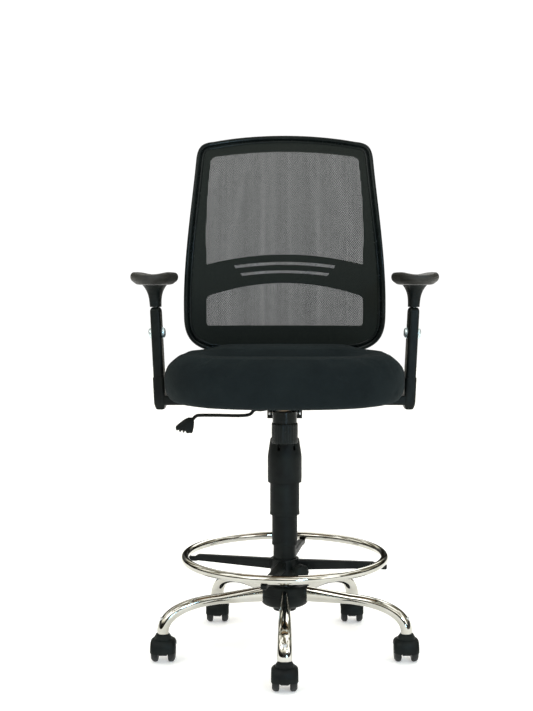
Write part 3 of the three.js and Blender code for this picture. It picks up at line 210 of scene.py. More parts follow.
def plywood():
    """Moulded beech ply: long figure along X and thin dark glue lines between its layers."""
    finish, tree, shader = new_finish("plywood", 0.6)
    stretch = tree.nodes.new("ShaderNodeMapping")
    stretch.inputs["Scale"].default_value = (6, 60, 400)
    tree.links.new(place(tree), stretch.inputs["Vector"])
    figure = tree.nodes.new("ShaderNodeTexNoise")
    figure.inputs["Scale"].default_value = 4
    tree.links.new(stretch.outputs["Vector"], figure.inputs["Vector"])
    colour = between(tree, figure.outputs["Fac"], (0.22, 0.13, 0.06), (0.46, 0.31, 0.17))
    tree.links.new(colour, shader.inputs["Base Color"])
    relief(tree, shader, figure.outputs["Fac"], 0.2 * MM)
    return finish


FINISH = {
    # Bright plate, with faint clouding and fine wiping marks
    "chrome": grained("chrome", 0.06, (22, 3), (0.47, 0.46, 0.41), (0.58, 0.57, 0.53),
                      (60, 4, 0.035, 0.10), (35, 2, 0.15), metallic=1.0),
    # Plated steel, dull and a little mottled
    "zinc_steel": grained("zinc", 0.32, (140, 3), (0.44, 0.45, 0.46), (0.63, 0.64, 0.64),
                          (400, 3, 0.25, 0.42), (900, 3, 0.05), metallic=1.0),
    # Clear-passivated zinc on the bolt heads: pale, bluish and soft in its shine
    "bright_zinc": grained("bright_zinc", 0.35, (200, 3), (0.55, 0.66, 0.68), (0.78, 0.88, 0.90),
                           (500, 3, 0.28, 0.42), (900, 3, 0.05), metallic=0.85),
    # Satin black powder coat on steel, with a fine orange peel
    "black_steel": grained("black_powder_coat", 0.42, (45, 3), (0.003, 0.004, 0.004), (0.007, 0.009, 0.008),
                           (220, 3, 0.34, 0.50), (1100, 2, 0.12), shine=0.13),
    # Matte black moulded plastic, with a spark-eroded grain and paler, rubbed patches
    "black_plastic": grained("black_moulding", 0.48, (30, 3), (0.003, 0.004, 0.004), (0.007, 0.010, 0.009),
                             (160, 3, 0.40, 0.58), (1500, 2, 0.10), shine=0.13),
    # Smooth black plastic, with a clear shine and faint flow marks
    "gloss_plastic": grained("gloss_moulding", 0.22, (25, 3), (0.004, 0.006, 0.006), (0.008, 0.011, 0.010),
                             (90, 3, 0.15, 0.30), (40, 1, 0.2), shine=0.13),
    "soft_plastic": soft_touch(),
    # Grey-black nylon tread, scuffed where it rolls
    "tread": grained("tread", 0.5, (120, 5), (0.005, 0.006, 0.006), (0.016, 0.017, 0.017),
                     (300, 3, 0.38, 0.62), (700, 3, 0.1), shine=0.25),
    "seat_fabric": upholstery(),
    # Charcoal yarn of the stretched mesh, twisted and slightly shiny
    "mesh_fabric": grained("mesh_yarn", 0.62, (600, 3), (0.006, 0.008, 0.007), (0.016, 0.020, 0.016),
                           bumps=(1800, 2, 0.2), shine=0.15),
    "plywood": plywood(),
}


# ---- Making meshes ---------------------------------------------------------------------------
def make(name, points, faces, outward=True, sharp=38):
    """An object from points and faces. Doubled points are merged, faces turned outwards and edges
    sharper than an angle kept sharp."""
    data = bpy.data.meshes.new(name)
    data.from_pydata(np.asarray(points).reshape(-1, 3).tolist(), [], faces)
    work = bmesh.new()
    work.from_mesh(data)
    bmesh.ops.remove_doubles(work, verts=work.verts, dist=0.004 * MM)
    if outward:
        bmesh.ops.recalc_face_normals(work, faces=work.faces)
    work.to_mesh(data)
    work.free()
    data.validate()
    data.shade_smooth()
    data.set_sharp_from_angle(angle=np.radians(sharp))
    piece = bpy.data.objects.new(name, data)
    bpy.context.scene.collection.objects.link(piece)
    return piece


def skin(grid, loop_rows=False, loop_columns=True, caps=True, start=0):
    """Points and faces over a grid of rings: quads between neighbours, and a fan to the middle of
    each end ring. start is the number of points that come before these in the mesh."""
    rows, columns = grid.shape[:2]
    index = np.arange(rows * columns).reshape(rows, columns)
    index = np.vstack([index, index[:1]]) if loop_rows else index
    index = np.hstack([index, index[:, :1]]) if loop_columns else index
    quads = np.stack([index[:-1, :-1], index[:-1, 1:], index[1:, 1:], index[1:, :-1]], -1).reshape(-1, 4)
    points = grid.reshape(-1, 3)
    faces = (quads + start).tolist()
    if caps and loop_columns and not loop_rows:
        centres = np.stack([grid[0].mean(0), grid[-1].mean(0)])
        for ring, centre in ((index[0], rows * columns), (index[-1], rows * columns + 1)):
            fan = np.stack([ring[1:], ring[:-1], np.full(columns, centre)], -1)
            faces += (fan + start).tolist()
        points = np.vstack([points, centres])
    return points, faces


def assemble(name, shells, **options):
    """One object from several shells of points and faces."""
    points, faces = [], []
    count = 0
    for shell_points, shell_faces in shells:
        points.append(shell_points)
        faces += [[i + count for i in face] for face in shell_faces]
        count += len(shell_points)
    return make(name, np.vstack(points), faces, **options)


def settle(piece, body, slot, *nodes, finish=None):
    """The piece takes a finish, rides on its body and stands for the CAD nodes named."""
    piece.data.materials.clear()
    piece.data.materials.append(FINISH[finish or slot])
    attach(piece, body)
    if nodes:
        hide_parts(*nodes)
    return piece


def softened(profile, radius, steps=5):
    """A line of corners with each inner corner rounded: a quadratic arc from a point before the
    corner to one as far after it, at most 0.45 of the shorter side away."""
    line = np.asarray(profile, float)
    before, corner, after = line[:-2], line[1:-1], line[2:]
    to_before, to_after = before - corner, after - corner
    lengths = np.linalg.norm(to_before, axis=1), np.linalg.norm(to_after, axis=1)
    reach = np.minimum(np.broadcast_to(radius, len(corner)), 0.45 * np.minimum(*lengths))[:, None]
    a = corner + to_before / lengths[0][:, None] * reach
    b = corner + to_after / lengths[1][:, None] * reach
    t = np.linspace(0, 1, steps)[None, :, None]
    arcs = (1 - t) ** 2 * a[:, None] + 2 * t * (1 - t) * corner[:, None] + t**2 * b[:, None]
    return np.vstack([line[:1], arcs.reshape(-1, line.shape[1]), line[-1:]])


def turned(profile, sides=96, lobes=0, depth=0.0, centre=(0, 0, 0), axis="Z"):
    """A surface of revolution. Radius and height come from the profile, in metres; the radius falls by
    the share depth between lobes, as half of one less the cosine of lobes times the angle."""
    profile = np.asarray(profile)
    angle = np.linspace(0, TAU, sides, endpoint=False)
    wave = 1 - depth * (1 - np.cos(lobes * angle)) / 2
    r, z = profile[:, :1], profile[:, 1:]
    grid = np.stack([r * wave * np.cos(angle), r * wave * np.sin(angle), z + 0 * angle], -1)
    if axis == "X":
        grid = grid[..., [2, 0, 1]]
    closed = np.allclose(profile[0], profile[-1])
    grid = grid[:-1] if closed else grid
    return skin(grid + np.asarray(centre), loop_rows=closed, caps=not closed)


def lathe(name, profile, sides, body, slot, node, **options):
    """A piece that is one turned shell, finished and in its place."""
    return settle(make(name, *turned(profile, sides, **options)), body, slot, node)


def carried(shell, matrix, shift=(0, 0, 0)):
    """A shell with its points turned by a matrix and then moved."""
    points, faces = shell
    return points @ np.asarray(matrix).T + np.asarray(shift), faces


def about_z(angle):
    c, s = np.cos(angle), np.sin(angle)
    return np.array([[c, -s, 0], [s, c, 0], [0, 0, 1]])


def about_y(angle):
    c, s = np.cos(angle), np.sin(angle)
    return np.array([[c, 0, s], [0, 1, 0], [-s, 0, c]])


def squircle(half_x, half_y, power=2.0, count=48):
    """A superellipse: the cosine and sine of the angle, each raised to 2 over the power."""
    angle = TAU * (np.arange(count) + 0.5) / count
    c, s = np.cos(angle), np.sin(angle)
    half_x, half_y = np.asarray(half_x)[..., None], np.asarray(half_y)[..., None]
    x = half_x * np.sign(c) * np.abs(c) ** (2 / power)
    y = half_y * np.sign(s) * np.abs(s) ** (2 / power)
    return np.stack([x, y], -1)


def swept(path, sections, side, loop=False):
    """Rings carried along a path: a section's first coordinate runs along the side direction and its
    second along the path's direction crossed with it."""
    path = np.asarray(path, float)
    tangent = (np.roll(path, -1, 0) - np.roll(path, 1, 0)) if loop else np.gradient(path, axis=0)
    tangent /= np.linalg.norm(tangent, axis=1)[:, None]
    side = np.broadcast_to(side, path.shape)
    side = side - (side * tangent).sum(1)[:, None] * tangent
    side = side / np.linalg.norm(side, axis=1)[:, None]
    up = np.cross(tangent, side)
    sections = np.broadcast_to(sections, (len(path), *np.shape(sections)[-2:]))
    grid = path[:, None] + sections[..., :1] * side[:, None] + sections[..., 1:] * up[:, None]
    return skin(grid, loop_rows=loop)


def bezier(a, b, c, d, count):
    """Points on a cubic curve between a and d, with b and c as its handles."""
    t = np.linspace(0, 1, count)[:, None]
    a, b, c, d = (np.asarray(p, float) for p in (a, b, c, d))
    return (1 - t) ** 3 * a + 3 * t * (1 - t) ** 2 * b + 3 * t**2 * (1 - t) * c + t**3 * d


def smooth_line(points, count):
    """A smooth line through points: Catmull-Rom cubics, sampled evenly between each pair."""
    p = np.asarray(points, float)
    p = np.vstack([2 * p[0] - p[1], p, 2 * p[-1] - p[-2]])
    t = np.linspace(0, 1, count, endpoint=False)[None, :, None]
    a, b, c, d = (p[i : len(p) - 3 + i, None] for i in range(4))
    line = 0.5 * (2 * b + (c - a) * t + (2 * a - 5 * b + 4 * c - d) * t**2 + (3 * b - a - 3 * c + d) * t**3)
    return np.vstack([line.reshape(-1, p.shape[1]), p[-2:-1]])


# ---- Five-star base --------------------------------------------------------------------------
LEG_ANGLES = np.radians(-90 + 72 * np.arange(5))
STEMS = [middle(f"caster_stem_{i}") for i in range(1, 6)]
CASTER_CIRCLE = abs(STEMS[0][1])
LEG_TIP_Z = box("star_base")[0][2]
LEG_AXIS_Z = LEG_TIP_Z + 65.5 * MM
TUBE_R = box("column_tube")[1][0]


def leg_shell(angle):
    """A leg as a sweep: its axis runs nearly level, then bends down in one cubic curve; its section
    goes from a tall narrow squircle at the hub to a flat, wide oval at the tip."""
    straight = np.array([150 * MM, LEG_AXIS_Z - 4 * MM])
    tip = np.array([CASTER_CIRCLE, LEG_TIP_Z])
    handles = straight + [0.53 * (CASTER_CIRCLE - straight[0]), -2 * MM], tip + [0, 43 * MM]
    line = np.linspace([TUBE_R + 4 * MM, LEG_AXIS_Z], straight, 16)[:-1]
    line = np.vstack([line, bezier(straight, *handles, tip, 40)])
    share = np.clip((line[:, 0] - line[0, 0]) / (straight[0] - line[0, 0]), 0, 1)
    bend = np.r_[np.zeros(15), np.linspace(0, 1, 40)]
    half_w = (9 + 3 * share + 3.5 * bend) * MM
    half_h = (18 - 7.5 * share + 1.5 * np.sin(bend * np.pi / 2)) * MM
    sections = squircle(half_w, half_h, 2.35, 56)
    edge = np.linspace(0, np.pi / 2, 6)[1:]
    round_off = 1 - 0.16 * (1 - np.cos(edge))[:, None, None]
    drop = np.zeros((5, 2))
    drop[:, 1] = -1.6 * MM * np.sin(edge)
    line = np.vstack([line[:-1], line[-1] + drop * 0.6])
    sections = np.vstack([sections[:-1], sections[-1:] * round_off])
    path = np.stack([line[:, 0], 0 * line[:, 0], line[:, 1]], -1)
    return carried(swept(path, sections, (0, 1, 0)), about_z(angle))


def star_base():
    low, high = LEG_AXIS_Z - 29 * MM, LEG_AXIS_Z + 20 * MM
    outer, inner = TUBE_R + 6.4 * MM, TUBE_R + 0.4 * MM
    ring = [(inner, low), (outer, low), (outer, high), (inner, high), (inner, low)]
    shells = [turned(ring, 72)] + [leg_shell(angle) for angle in LEG_ANGLES]
    settle(assemble("star_base_chrome", shells), "base", "chrome", "star_base")


def hub_cover():
    """The cover round the hub, turned, with a rounded lower edge and a seam line at half height."""
    low, high = box("hub_cover")
    r, z0, z1 = (high[0] - low[0]) / 2, low[2], high[2]
    seam = z0 + 27 * MM
    outside = [
        (TUBE_R + 8 * MM, z0), (r - 15 * MM, z0), (r - 4.5 * MM, z0 + 4.5 * MM), (r, z0 + 15 * MM),
        (r, seam - 0.9 * MM), (r - 0.9 * MM, seam), (r, seam + 0.9 * MM),
        (r - 0.5 * MM, z1 - 4 * MM), (r - 4 * MM, z1), (TUBE_R + 8 * MM, z1),
    ]
    bends = [9 * MM, 9 * MM, 9 * MM, 0.3 * MM, 0.3 * MM, 0.3 * MM, 2 * MM, 3 * MM]
    outside = softened(np.array(outside), bends, 6)
    bore = [(TUBE_R + 8 * MM, z1 - 3 * MM), (TUBE_R + 8 * MM, z0 + 3 * MM)]
    profile = np.vstack([outside, bore, outside[:1]])
    lathe("hub_shell", profile, 120, "base", "black_plastic", "hub_cover")


# ---- Casters ---------------------------------------------------------------------------------
WHEEL_R = 25 * MM
TRAIL = middle("caster_axle_1")[1] - STEMS[0][1]
WHEEL_IN = box("wheel_left_1")[0][0]
WHEEL_OUT = box("wheel_left_1")[1][0]


def hood_shell(centre):
    """The hood over both wheels. Its section is a flattened half oval; it is carried round the axle from
    low at the front to low at the back, fullest at the front shoulder, and its rim is rounded off."""
    reach, rise, skirt, wall = WHEEL_OUT + 1.8 * MM, WHEEL_R + 4.8 * MM, WHEEL_R - 12 * MM, 1.5 * MM
    u = np.linspace(0, np.pi, 41)
    outer = np.stack([-reach * np.cos(u), skirt + (rise - skirt) * np.sin(u) ** 0.6], -1)
    lower = (rise - wall - skirt) * np.sin(u) ** 0.6
    inner = np.stack([-(reach - wall) * np.cos(u), skirt + lower], -1)[::-1]
    band = np.vstack([outer, inner])
    angle = np.radians(np.linspace(-6, 132, 44))[:, None]
    x, r = band[:, 0], band[:, 1]
    full = 1 + 0.09 * np.clip(np.sin(2 * angle), 0, 1) * (angle < np.pi / 2)
    grid = np.stack([x + 0 * angle, TRAIL - r * full * np.cos(angle), WHEEL_R + r * full * np.sin(angle)], -1)
    return carried(skin(grid), np.eye(3), centre)


def web_shell(centre):
    """The web between the wheels: a rounded plate whose outline is an arc over the axle closed by a
    short flat below it."""
    arc = np.radians(np.linspace(-8, 130, 40))
    r = WHEEL_R + 2.8 * MM
    edge = np.stack([TRAIL - r * np.cos(arc), WHEEL_R + r * np.sin(arc)], -1)
    foot = np.array([TRAIL + 6 * MM, WHEEL_R - 10 * MM]), np.array([TRAIL - 14 * MM, WHEEL_R - 10 * MM])
    outline = np.vstack([edge, *foot])
    hub = outline.mean(0)
    levels = [(-9, 0.94), (-8.2, 0.98), (-7, 1), (7, 1), (8.2, 0.98), (9, 0.94)]
    rings = [np.insert(hub + (outline - hub) * share, 0, x * MM, axis=1) for x, share in levels]
    return carried(skin(np.array(rings)), np.eye(3), centre)


def neck_shell(centre):
    """The neck as stacked ovals: round where it holds the stem, then a step, then a flare that leans
    back on to the hood. Each level is height, half width, half depth and how far back it sits."""
    top = box("caster_body_1")[1][2]
    levels = [
        (44 * MM, 16, 15, 8), (50 * MM, 18.5, 15.5, 6), (54 * MM, 18.8, 15.5, 4),
        (57 * MM, 17.8, 14.5, 2.5), (59.4 * MM, 16.4, 14, 1.5), (60 * MM, 15.2, 13, 0),
        (top - 0.8 * MM, 14.8, 12.8, 0), (top, 14, 12.2, 0),
    ]
    z, wide, deep, back = softened(np.array(levels), 0.8 * MM, 4).T
    ring = squircle(wide * MM, deep * MM, 2.3, 48)
    grid = np.stack([ring[..., 0], ring[..., 1] + back[:, None] * MM, z[:, None] + 0 * ring[..., 0]], -1)
    return carried(skin(grid), np.eye(3), centre)


def caster_body(i, centre):
    piece = assemble(f"caster_hood_{i}", [hood_shell(centre), web_shell(centre), neck_shell(centre)])
    settle(piece, f"caster_{i}", "black_plastic", f"caster_body_{i}")


def wheel(i, side, centre):
    """A turned wheel: round-edged tread, a groove between tread and disc, a dished disc and a cap."""
    half = (WHEEL_OUT - WHEEL_IN) / 2
    r = WHEEL_R
    profile = [
        (0, -half), (r - 4 * MM, -half), (r - 1.2 * MM, -half + 1.2 * MM), (r, -half + 4 * MM),
        (r, half - 6 * MM), (r - 1.8 * MM, half - 2.6 * MM), (r - 4.8 * MM, half - 0.4 * MM),
        (r - 6.4 * MM, half), (r - 7 * MM, half - 1 * MM), (r - 7.8 * MM, half),
        (9 * MM, half - 0.2 * MM), (8.4 * MM, half - 1.2 * MM), (7.6 * MM, half - 0.2 * MM),
        (0, half + 0.2 * MM),
    ]
    profile = softened(profile, [2 * MM, 2 * MM, 3 * MM, 4 * MM, 3 * MM, 2 * MM] + [0.5 * MM] * 6, 5)
    shell = turned(profile, 72, axis="X")
    sign = 1 if side == "left" else -1
    turn = np.diag([sign, 1, 1])
    place_at = centre + np.array([sign * (WHEEL_IN + half), TRAIL, WHEEL_R])
    piece = make(f"caster_wheel_{side}_{i}", *carried(shell, turn, place_at))
    settle(piece, f"wheel_{side}_{i}", "black_plastic", f"wheel_{side}_{i}", finish="tread")


def stem(i, centre):
    low, high = box("caster_stem_1")
    collar = box("caster_body_1")[1][2] + 0.3 * MM
    r = 5.5 * MM
    profile = [(0, low[2]), (r, low[2]), (r, collar), (8.5 * MM, collar), (8.5 * MM, collar + 1.4 * MM),
               (r, collar + 1.4 * MM), (r, high[2]), (0, high[2])]
    shell = carried(turned(softened(profile, 0.4 * MM), 40), np.eye(3), centre)
    settle(make(f"stem_{i}", *shell), f"caster_{i}", "zinc_steel", f"caster_stem_{i}")


def casters():
    for i, at in enumerate(STEMS, 1):
        centre = np.array([at[0], at[1], 0])
        caster_body(i, centre)
        wheel(i, "left", centre)
        wheel(i, "right", centre)
        stem(i, centre)


# ---- Gas lift and telescopic cover -----------------------------------------------------------
def sleeve(name, body, slot, node, wall, lip=1 * MM):
    """A plain tube with rounded rims, as large as its CAD node."""
    low, high = box(node)
    r = high[0]
    ring = [(r - wall, low[2]), (r, low[2]), (r, high[2]), (r - wall, high[2]), (r - wall, low[2])]
    lathe(name, softened(ring, lip, 4), 96, body, slot, node)


def cover_section(name, body, node, wall=1.7 * MM):
    """A section of the cover: a tube with a slightly proud band round its lower rim."""
    low, high = box(node)
    r, z0, z1 = high[0], low[2], high[2]
    ring = [
        (r - wall, z0), (r + 0.1 * MM, z0), (r + 0.1 * MM, z0 + 5 * MM), (r - 0.35 * MM, z0 + 5.6 * MM),
        (r - 0.35 * MM, z1), (r - wall, z1), (r - wall, z0),
    ]
    lathe(name, softened(ring, 0.5 * MM, 4), 96, body, "black_plastic", node)


def cover_upper():
    """The top section: skirt, shoulder and a cone whose mouth is split into six springy fingers."""
    low, high = box("cover_upper")
    r, z0, top = high[0], low[2], high[2]
    shoulder, split, wall = top - 38 * MM, top - 24 * MM, 1.7 * MM
    mouth = 31.5 * MM

    def outer(z):
        return np.interp(z, [z0, shoulder - 3 * MM, shoulder + 3 * MM, top], [r, r, r - 0.6 * MM, mouth])

    z = np.r_[np.linspace(z0, shoulder - 4 * MM, 6), np.linspace(shoulder - 3 * MM, split, 12)]
    outside = np.stack([outer(z), z], -1)
    outside[0, 0] -= 0.5 * MM
    inner = outside[::-1] - [wall, 0]
    profile = np.vstack([outside, inner, outside[:1]])
    shells = [turned(profile, 120)]
    z = np.linspace(split, top, 14)
    height = (z - split) / (top - split)
    radius = outer(z) - 0.9 * MM * np.clip(height * 8 - 7, 0, 1) ** 2
    loop_r = np.r_[radius, (radius - wall)[::-1]]
    loop_z = np.r_[z, z[::-1]]
    for k in range(6):
        middle_angle = TAU * (k + 0.5) / 6 + np.radians(8)
        half = TAU / 12 - 2.6 * MM / mouth
        angle = np.linspace(middle_angle - half, middle_angle + half, 18)[:, None]
        grid = np.stack([loop_r * np.cos(angle), loop_r * np.sin(angle), loop_z + 0 * angle], -1)
        shells.append(skin(grid))
    web = top - 16 * MM
    plate = [(15 * MM, web), (mouth - 1 * MM, web), (mouth - 1 * MM, web + 2 * MM), (18 * MM, web + 2 * MM),
             (17.5 * MM, web + 7 * MM), (15 * MM, web + 7 * MM), (15 * MM, web)]
    shells.append(turned(plate, 64))
    settle(assemble("cover_cone", shells), "lift", "black_plastic", "cover_upper")


def gas_cylinder():
    low, high = box("gas_cylinder")
    r = high[0]
    neck, neck_r = high[2] - 5 * MM, 4 * MM
    profile = [(0, low[2]), (r, low[2]), (r, neck), (neck_r, neck), (neck_r, high[2]), (0, high[2])]
    lathe("lift_cylinder", softened(profile, 0.8 * MM), 64, "lift", "black_steel", "gas_cylinder")


def column():
    sleeve("column", "base", "black_steel", "column_tube", 2 * MM)
    cover_section("cover_bottom", "base", "cover_lower")
    cover_section("cover_centre", "cover_middle", "cover_middle")
    cover_upper()
    gas_cylinder()


# ---- Foot ring -------------------------------------------------------------------------------
def foot_ring():
    """A torus: the tube's circle carried round the ring's circle."""
    low, high = box("foot_ring")
    tube = (high[2] - low[2]) / 2
    ring = high[0] - tube
    round_ring = np.linspace(0, TAU, 240, endpoint=False)[:, None]
    round_tube = np.linspace(0, TAU, 28, endpoint=False)
    r = ring + tube * np.cos(round_tube)
    height = (low[2] + high[2]) / 2 + tube * np.sin(round_tube) + 0 * round_ring
    grid = np.stack([r * np.cos(round_ring), r * np.sin(round_ring), height], -1)
    settle(make("foot_ring_chrome", *skin(grid, loop_rows=True)), "foot_rest", "chrome", "foot_ring")


def spider():
    """A turned sleeve with four spokes, each a rounded bar that tapers out to the ring."""
    low, high = box("ring_spider")
    inner, outer = TUBE_R + 0.4 * MM, TUBE_R + 6 * MM
    z0, z1 = low[2], high[2]
    ring_z = box("foot_ring")[0][2]
    ring = [(inner, z0), (outer, z0), (outer, z1), (inner, z1), (inner, z0)]
    shells = [turned(softened(ring, 1.2 * MM, 5), 72)]
    end = high[0] + 1.5 * MM
    r = np.r_[np.linspace(TUBE_R + 3 * MM, end - 31 * MM, 22), np.linspace(end - 28 * MM, end, 14)]
    step = end - np.array([30, 23, 0]) * MM
    top = np.interp(r, [r[0], *step], [z1 - 2 * MM, ring_z + 5 * MM, ring_z - 0.3 * MM, ring_z - 0.3 * MM])
    half_h = np.interp(r, [r[0], *step], [11.5 * MM, 7 * MM, 5 * MM, 5 * MM])
    half_w = np.interp(r, [r[0], end], [8.5 * MM, 6.5 * MM])
    path = np.stack([r, 0 * r, top - half_h], -1)
    bar = squircle(half_w, half_h, 5, 40)
    bar[-1] *= 0.8
    for k in range(4):
        angle = np.radians(-11 + 90 * k)
        shells.append(carried(swept(path, bar, (0, 1, 0)), about_z(angle)))
    settle(assemble("foot_ring_spider", shells), "foot_rest", "black_steel", "ring_spider")


def ring_knob():
    """An eight-lobed hand knob on its neck, turned and then laid along its own direction."""
    start, head, end = TUBE_R + 1 * MM, TUBE_R + 28 * MM, TUBE_R + 48 * MM
    direction, height = np.radians(-56), 186 * MM
    profile = [
        (0, start), (4 * MM, start), (4 * MM, start + 14 * MM), (9 * MM, start + 15 * MM),
        (9.5 * MM, head - 2 * MM), (16.6 * MM, head), (17 * MM, end - 4 * MM), (13 * MM, end),
        (0, end + 1.5 * MM),
    ]
    radii = [0.3 * MM, 0.3 * MM, 1 * MM, 2 * MM, 2.5 * MM, 4 * MM, 4 * MM]
    shell = turned(softened(profile, radii, 6), 96, lobes=8, depth=0.06)
    shell = carried(shell, about_z(direction) @ about_y(np.pi / 2), (0, 0, height))
    settle(make("clamp_knob", *shell), "ring_knob", "black_plastic", "ring_knob")


# ---- Tilt mechanism --------------------------------------------------------------------------
def tension_knob():
    """The hand knob: a tall fluted drum, the spring's cup on it and the bolt through both."""
    low, high = box("tension_knob")
    y = middle("tension_knob")[1]
    z0, face, rim = low[2], low[2] + 44 * MM, low[2] + 67 * MM
    drum = [(0, z0 + 2 * MM), (17 * MM, z0 + 2 * MM), (20 * MM, z0), (27.5 * MM, z0), (28 * MM, z0 + 3 * MM),
            (28 * MM, face - 3 * MM), (26.5 * MM, face), (0, face)]
    radii = [1 * MM, 1 * MM, 2 * MM, 1 * MM, 2 * MM, 1.5 * MM]
    shells = [turned(softened(drum, radii, 5), 288, lobes=36, depth=0.022, centre=(0, y, 0))]
    foot = face - 1 * MM
    cup = [(23 * MM, foot), (26 * MM, foot), (26 * MM, rim), (23 * MM, rim), (23 * MM, foot)]
    shells.append(turned(cup, 96, centre=(0, y, 0)))
    bolt = [(0, face), (4 * MM, face), (4 * MM, high[2]), (0, high[2])]
    shells.append(turned(bolt, 32, centre=(0, y, 0)))
    settle(assemble("tension_handwheel", shells), "tension_knob", "gloss_plastic", "tension_knob")


def pivot_pin():
    low, high = box("pivot_pin")
    r = (high[2] - low[2]) / 2
    half, bevel = high[0], 0.8 * MM
    pin = [(0, -half), (r - bevel, -half), (r, bevel - half), (r, half - bevel), (r - bevel, half), (0, half)]
    lathe("pivot", pin, 40, "lift", "zinc_steel", "pivot_pin", centre=middle("pivot_pin"), axis="X")


def lever():
    """The height lever: a round rod carried along its bent line, with a moulded paddle on the end."""
    inner = box("gas_cylinder")[1][2] + 6 * MM
    wall = box("mechanism_housing")[0][0]
    y, z = -19 * MM, 533 * MM
    drop, reach = 521 * MM, -193 * MM
    line = [
        (0, 0, inner), (-12 * MM, -7 * MM, inner + 0.6 * MM), (-27 * MM, -17 * MM, inner - 2 * MM),
        (wall + 3 * MM, y, z + 3 * MM), (wall - 14 * MM, y, z), (wall - 28 * MM, y, z - 0.5 * MM),
        (wall - 46 * MM, y, drop), (reach + 40 * MM, y, drop), (reach + 12 * MM, y, drop),
        (reach, y, drop - 1.5 * MM), (reach - 9 * MM, y, drop - 10 * MM),
        (reach - 17 * MM, y, drop - 20 * MM),
    ]
    path = smooth_line(line, 10)
    rod = swept(path, squircle(3.6 * MM, 3.6 * MM, 2, 24), (0, 1, 0))
    settle(make("lever_bar", *rod), "lever", "black_steel", "lever_rod")


def paddle():
    """The lever's paddle: a pillow whose outline has a sloped, stepped top and finger scallops below."""
    low, high = box("lever_handle")
    corner = np.array([low[0], low[2]])
    size = np.array([high[0] - low[0], high[2] - low[2]])
    outline = np.array([
        (1.00, 0.86), (0.94, 0.99), (0.78, 1.0), (0.66, 0.99), (0.44, 0.86), (0.22, 0.66), (0.04, 0.48),
        (0.00, 0.34), (0.05, 0.17), (0.16, 0.20), (0.24, 0.06), (0.35, 0.19), (0.43, 0.02), (0.53, 0.14),
        (0.61, 0.0), (0.75, 0.0), (0.90, 0.02), (0.96, 0.25), (1.00, 0.55),
    ])
    outline = smooth_line(np.vstack([outline, outline[:1]]), 6)[:-1] * size + corner
    hub = outline.mean(0)
    depth = np.linspace(-1, 1, 13)
    share = np.abs(1 - np.abs(depth) ** 3.2) ** (1 / 2.4)
    share = 0.45 + 0.55 * share
    half = (high[1] - low[1]) / 2 + 1 * MM
    grid = hub + (outline - hub) * share[:, None, None]
    across = middle("lever_handle")[1] + depth[:, None] * half + 0 * grid[..., 0]
    grid = np.stack([grid[..., 0], across, grid[..., 1]], -1)
    settle(make("lever_paddle", *skin(grid)), "lever", "black_plastic", "lever_handle")


# ---- Arms ------------------------------------------------------------------------------------
ARM_Y = middle("arm_pad_left")[1]
LEAN = np.tan(np.radians(3))
ARM_FOOT_Z = box("arm_bracket_left")[0][2]
ARM_FOOT_X = 274 * MM
POST_W, POST_D = 23 * MM, 56 * MM


def arm_x(z):
    """The middle of the leaning upright at a height."""
    return ARM_FOOT_X + (z - ARM_FOOT_Z) * LEAN


def post(levels, power, count=64, centre=None):
    """Rounded rectangles stacked up the leaning arm, from levels of height, width and depth."""
    z, width, depth = np.array(levels).T
    rings = squircle(width / 2, depth / 2, power, count)
    x = (arm_x(z) if centre is None else centre)[:, None]
    return skin(np.stack([rings[..., 0] + x, rings[..., 1] + ARM_Y, z[:, None] + 0 * rings[..., 0]], -1))


def arm_bracket():
    """The lower bracket: a sleeve with a rounded foot, and a bar in under the seat."""
    z0, top = ARM_FOOT_Z, box("arm_bracket_left")[1][2]
    width, depth = POST_W + 3 * MM, POST_D + 3 * MM
    sleeve_levels = softened(
        [(z0, 9 * MM, depth - 20 * MM), (z0 + 1 * MM, width - 8 * MM, depth - 12 * MM),
         (z0 + 12 * MM, width, depth), (top - 1 * MM, width, depth), (top, width - 2 * MM, depth - 2 * MM)],
        [3 * MM, 7 * MM, 1 * MM], 5,
    )
    shells = [post(sleeve_levels, 6)]
    bar_top = box("seat_shell")[0][2] - 0.3 * MM
    x0, x1 = box("arm_bracket_left")[0][0], arm_x(bar_top)
    x = np.linspace(x0, x1, 24)
    share = np.clip((x - (x1 - 42 * MM)) / (42 * MM), 0, 1)
    half_h = (9 + 5 * share**2) * MM
    path = np.stack([x, ARM_Y + 0 * x, bar_top - 9 * MM + 4 * MM * share**2], -1)
    shells.append(swept(path, squircle(28 * MM + 0 * x, half_h, 7, 48), (0, 1, 0)))
    return "arm_foot", shells, "seat_unit", "black_steel", "arm_bracket"


def arm_upright():
    """The upright: a rounded tube that ends in a low dome."""
    top = box("arm_upright_left")[1][2]
    start = box("arm_bracket_left")[1][2] - 30 * MM
    t = np.linspace(0, np.pi / 2, 9)
    dome_z = top - 11 * MM + 11 * MM * np.sin(t)
    dome = np.stack([dome_z, (8 + 15 * np.cos(t) ** 0.8) * MM, (40 + 16 * np.cos(t) ** 0.8) * MM], -1)
    levels = np.vstack([[(start, POST_W, POST_D)], dome])
    return "arm_post", [post(levels, 6)], "seat_unit", "black_steel", "arm_upright"


def arm_neck():
    """The neck flares smoothly from the upright's size to the pad's; its steel blade hangs below."""
    z0, z1 = box("arm_upright_left")[1][2] + 0.6 * MM, box("arm_neck_left")[1][2]
    t = np.linspace(0, 1, 20)
    z = z0 + (z1 - z0) * t
    width = (23 + 3 * t + 22 * t**3.2) * MM
    depth = (56 + 4 * t + 60 * t**3.2) * MM
    pad_x = middle("arm_pad_left")[0]
    centre = arm_x(z) + (pad_x - arm_x(z1)) * t**2
    shell = post(np.stack([z, width, depth], -1), 4.5, centre=centre)
    return "arm_flare", [shell], "arm", "black_plastic", None


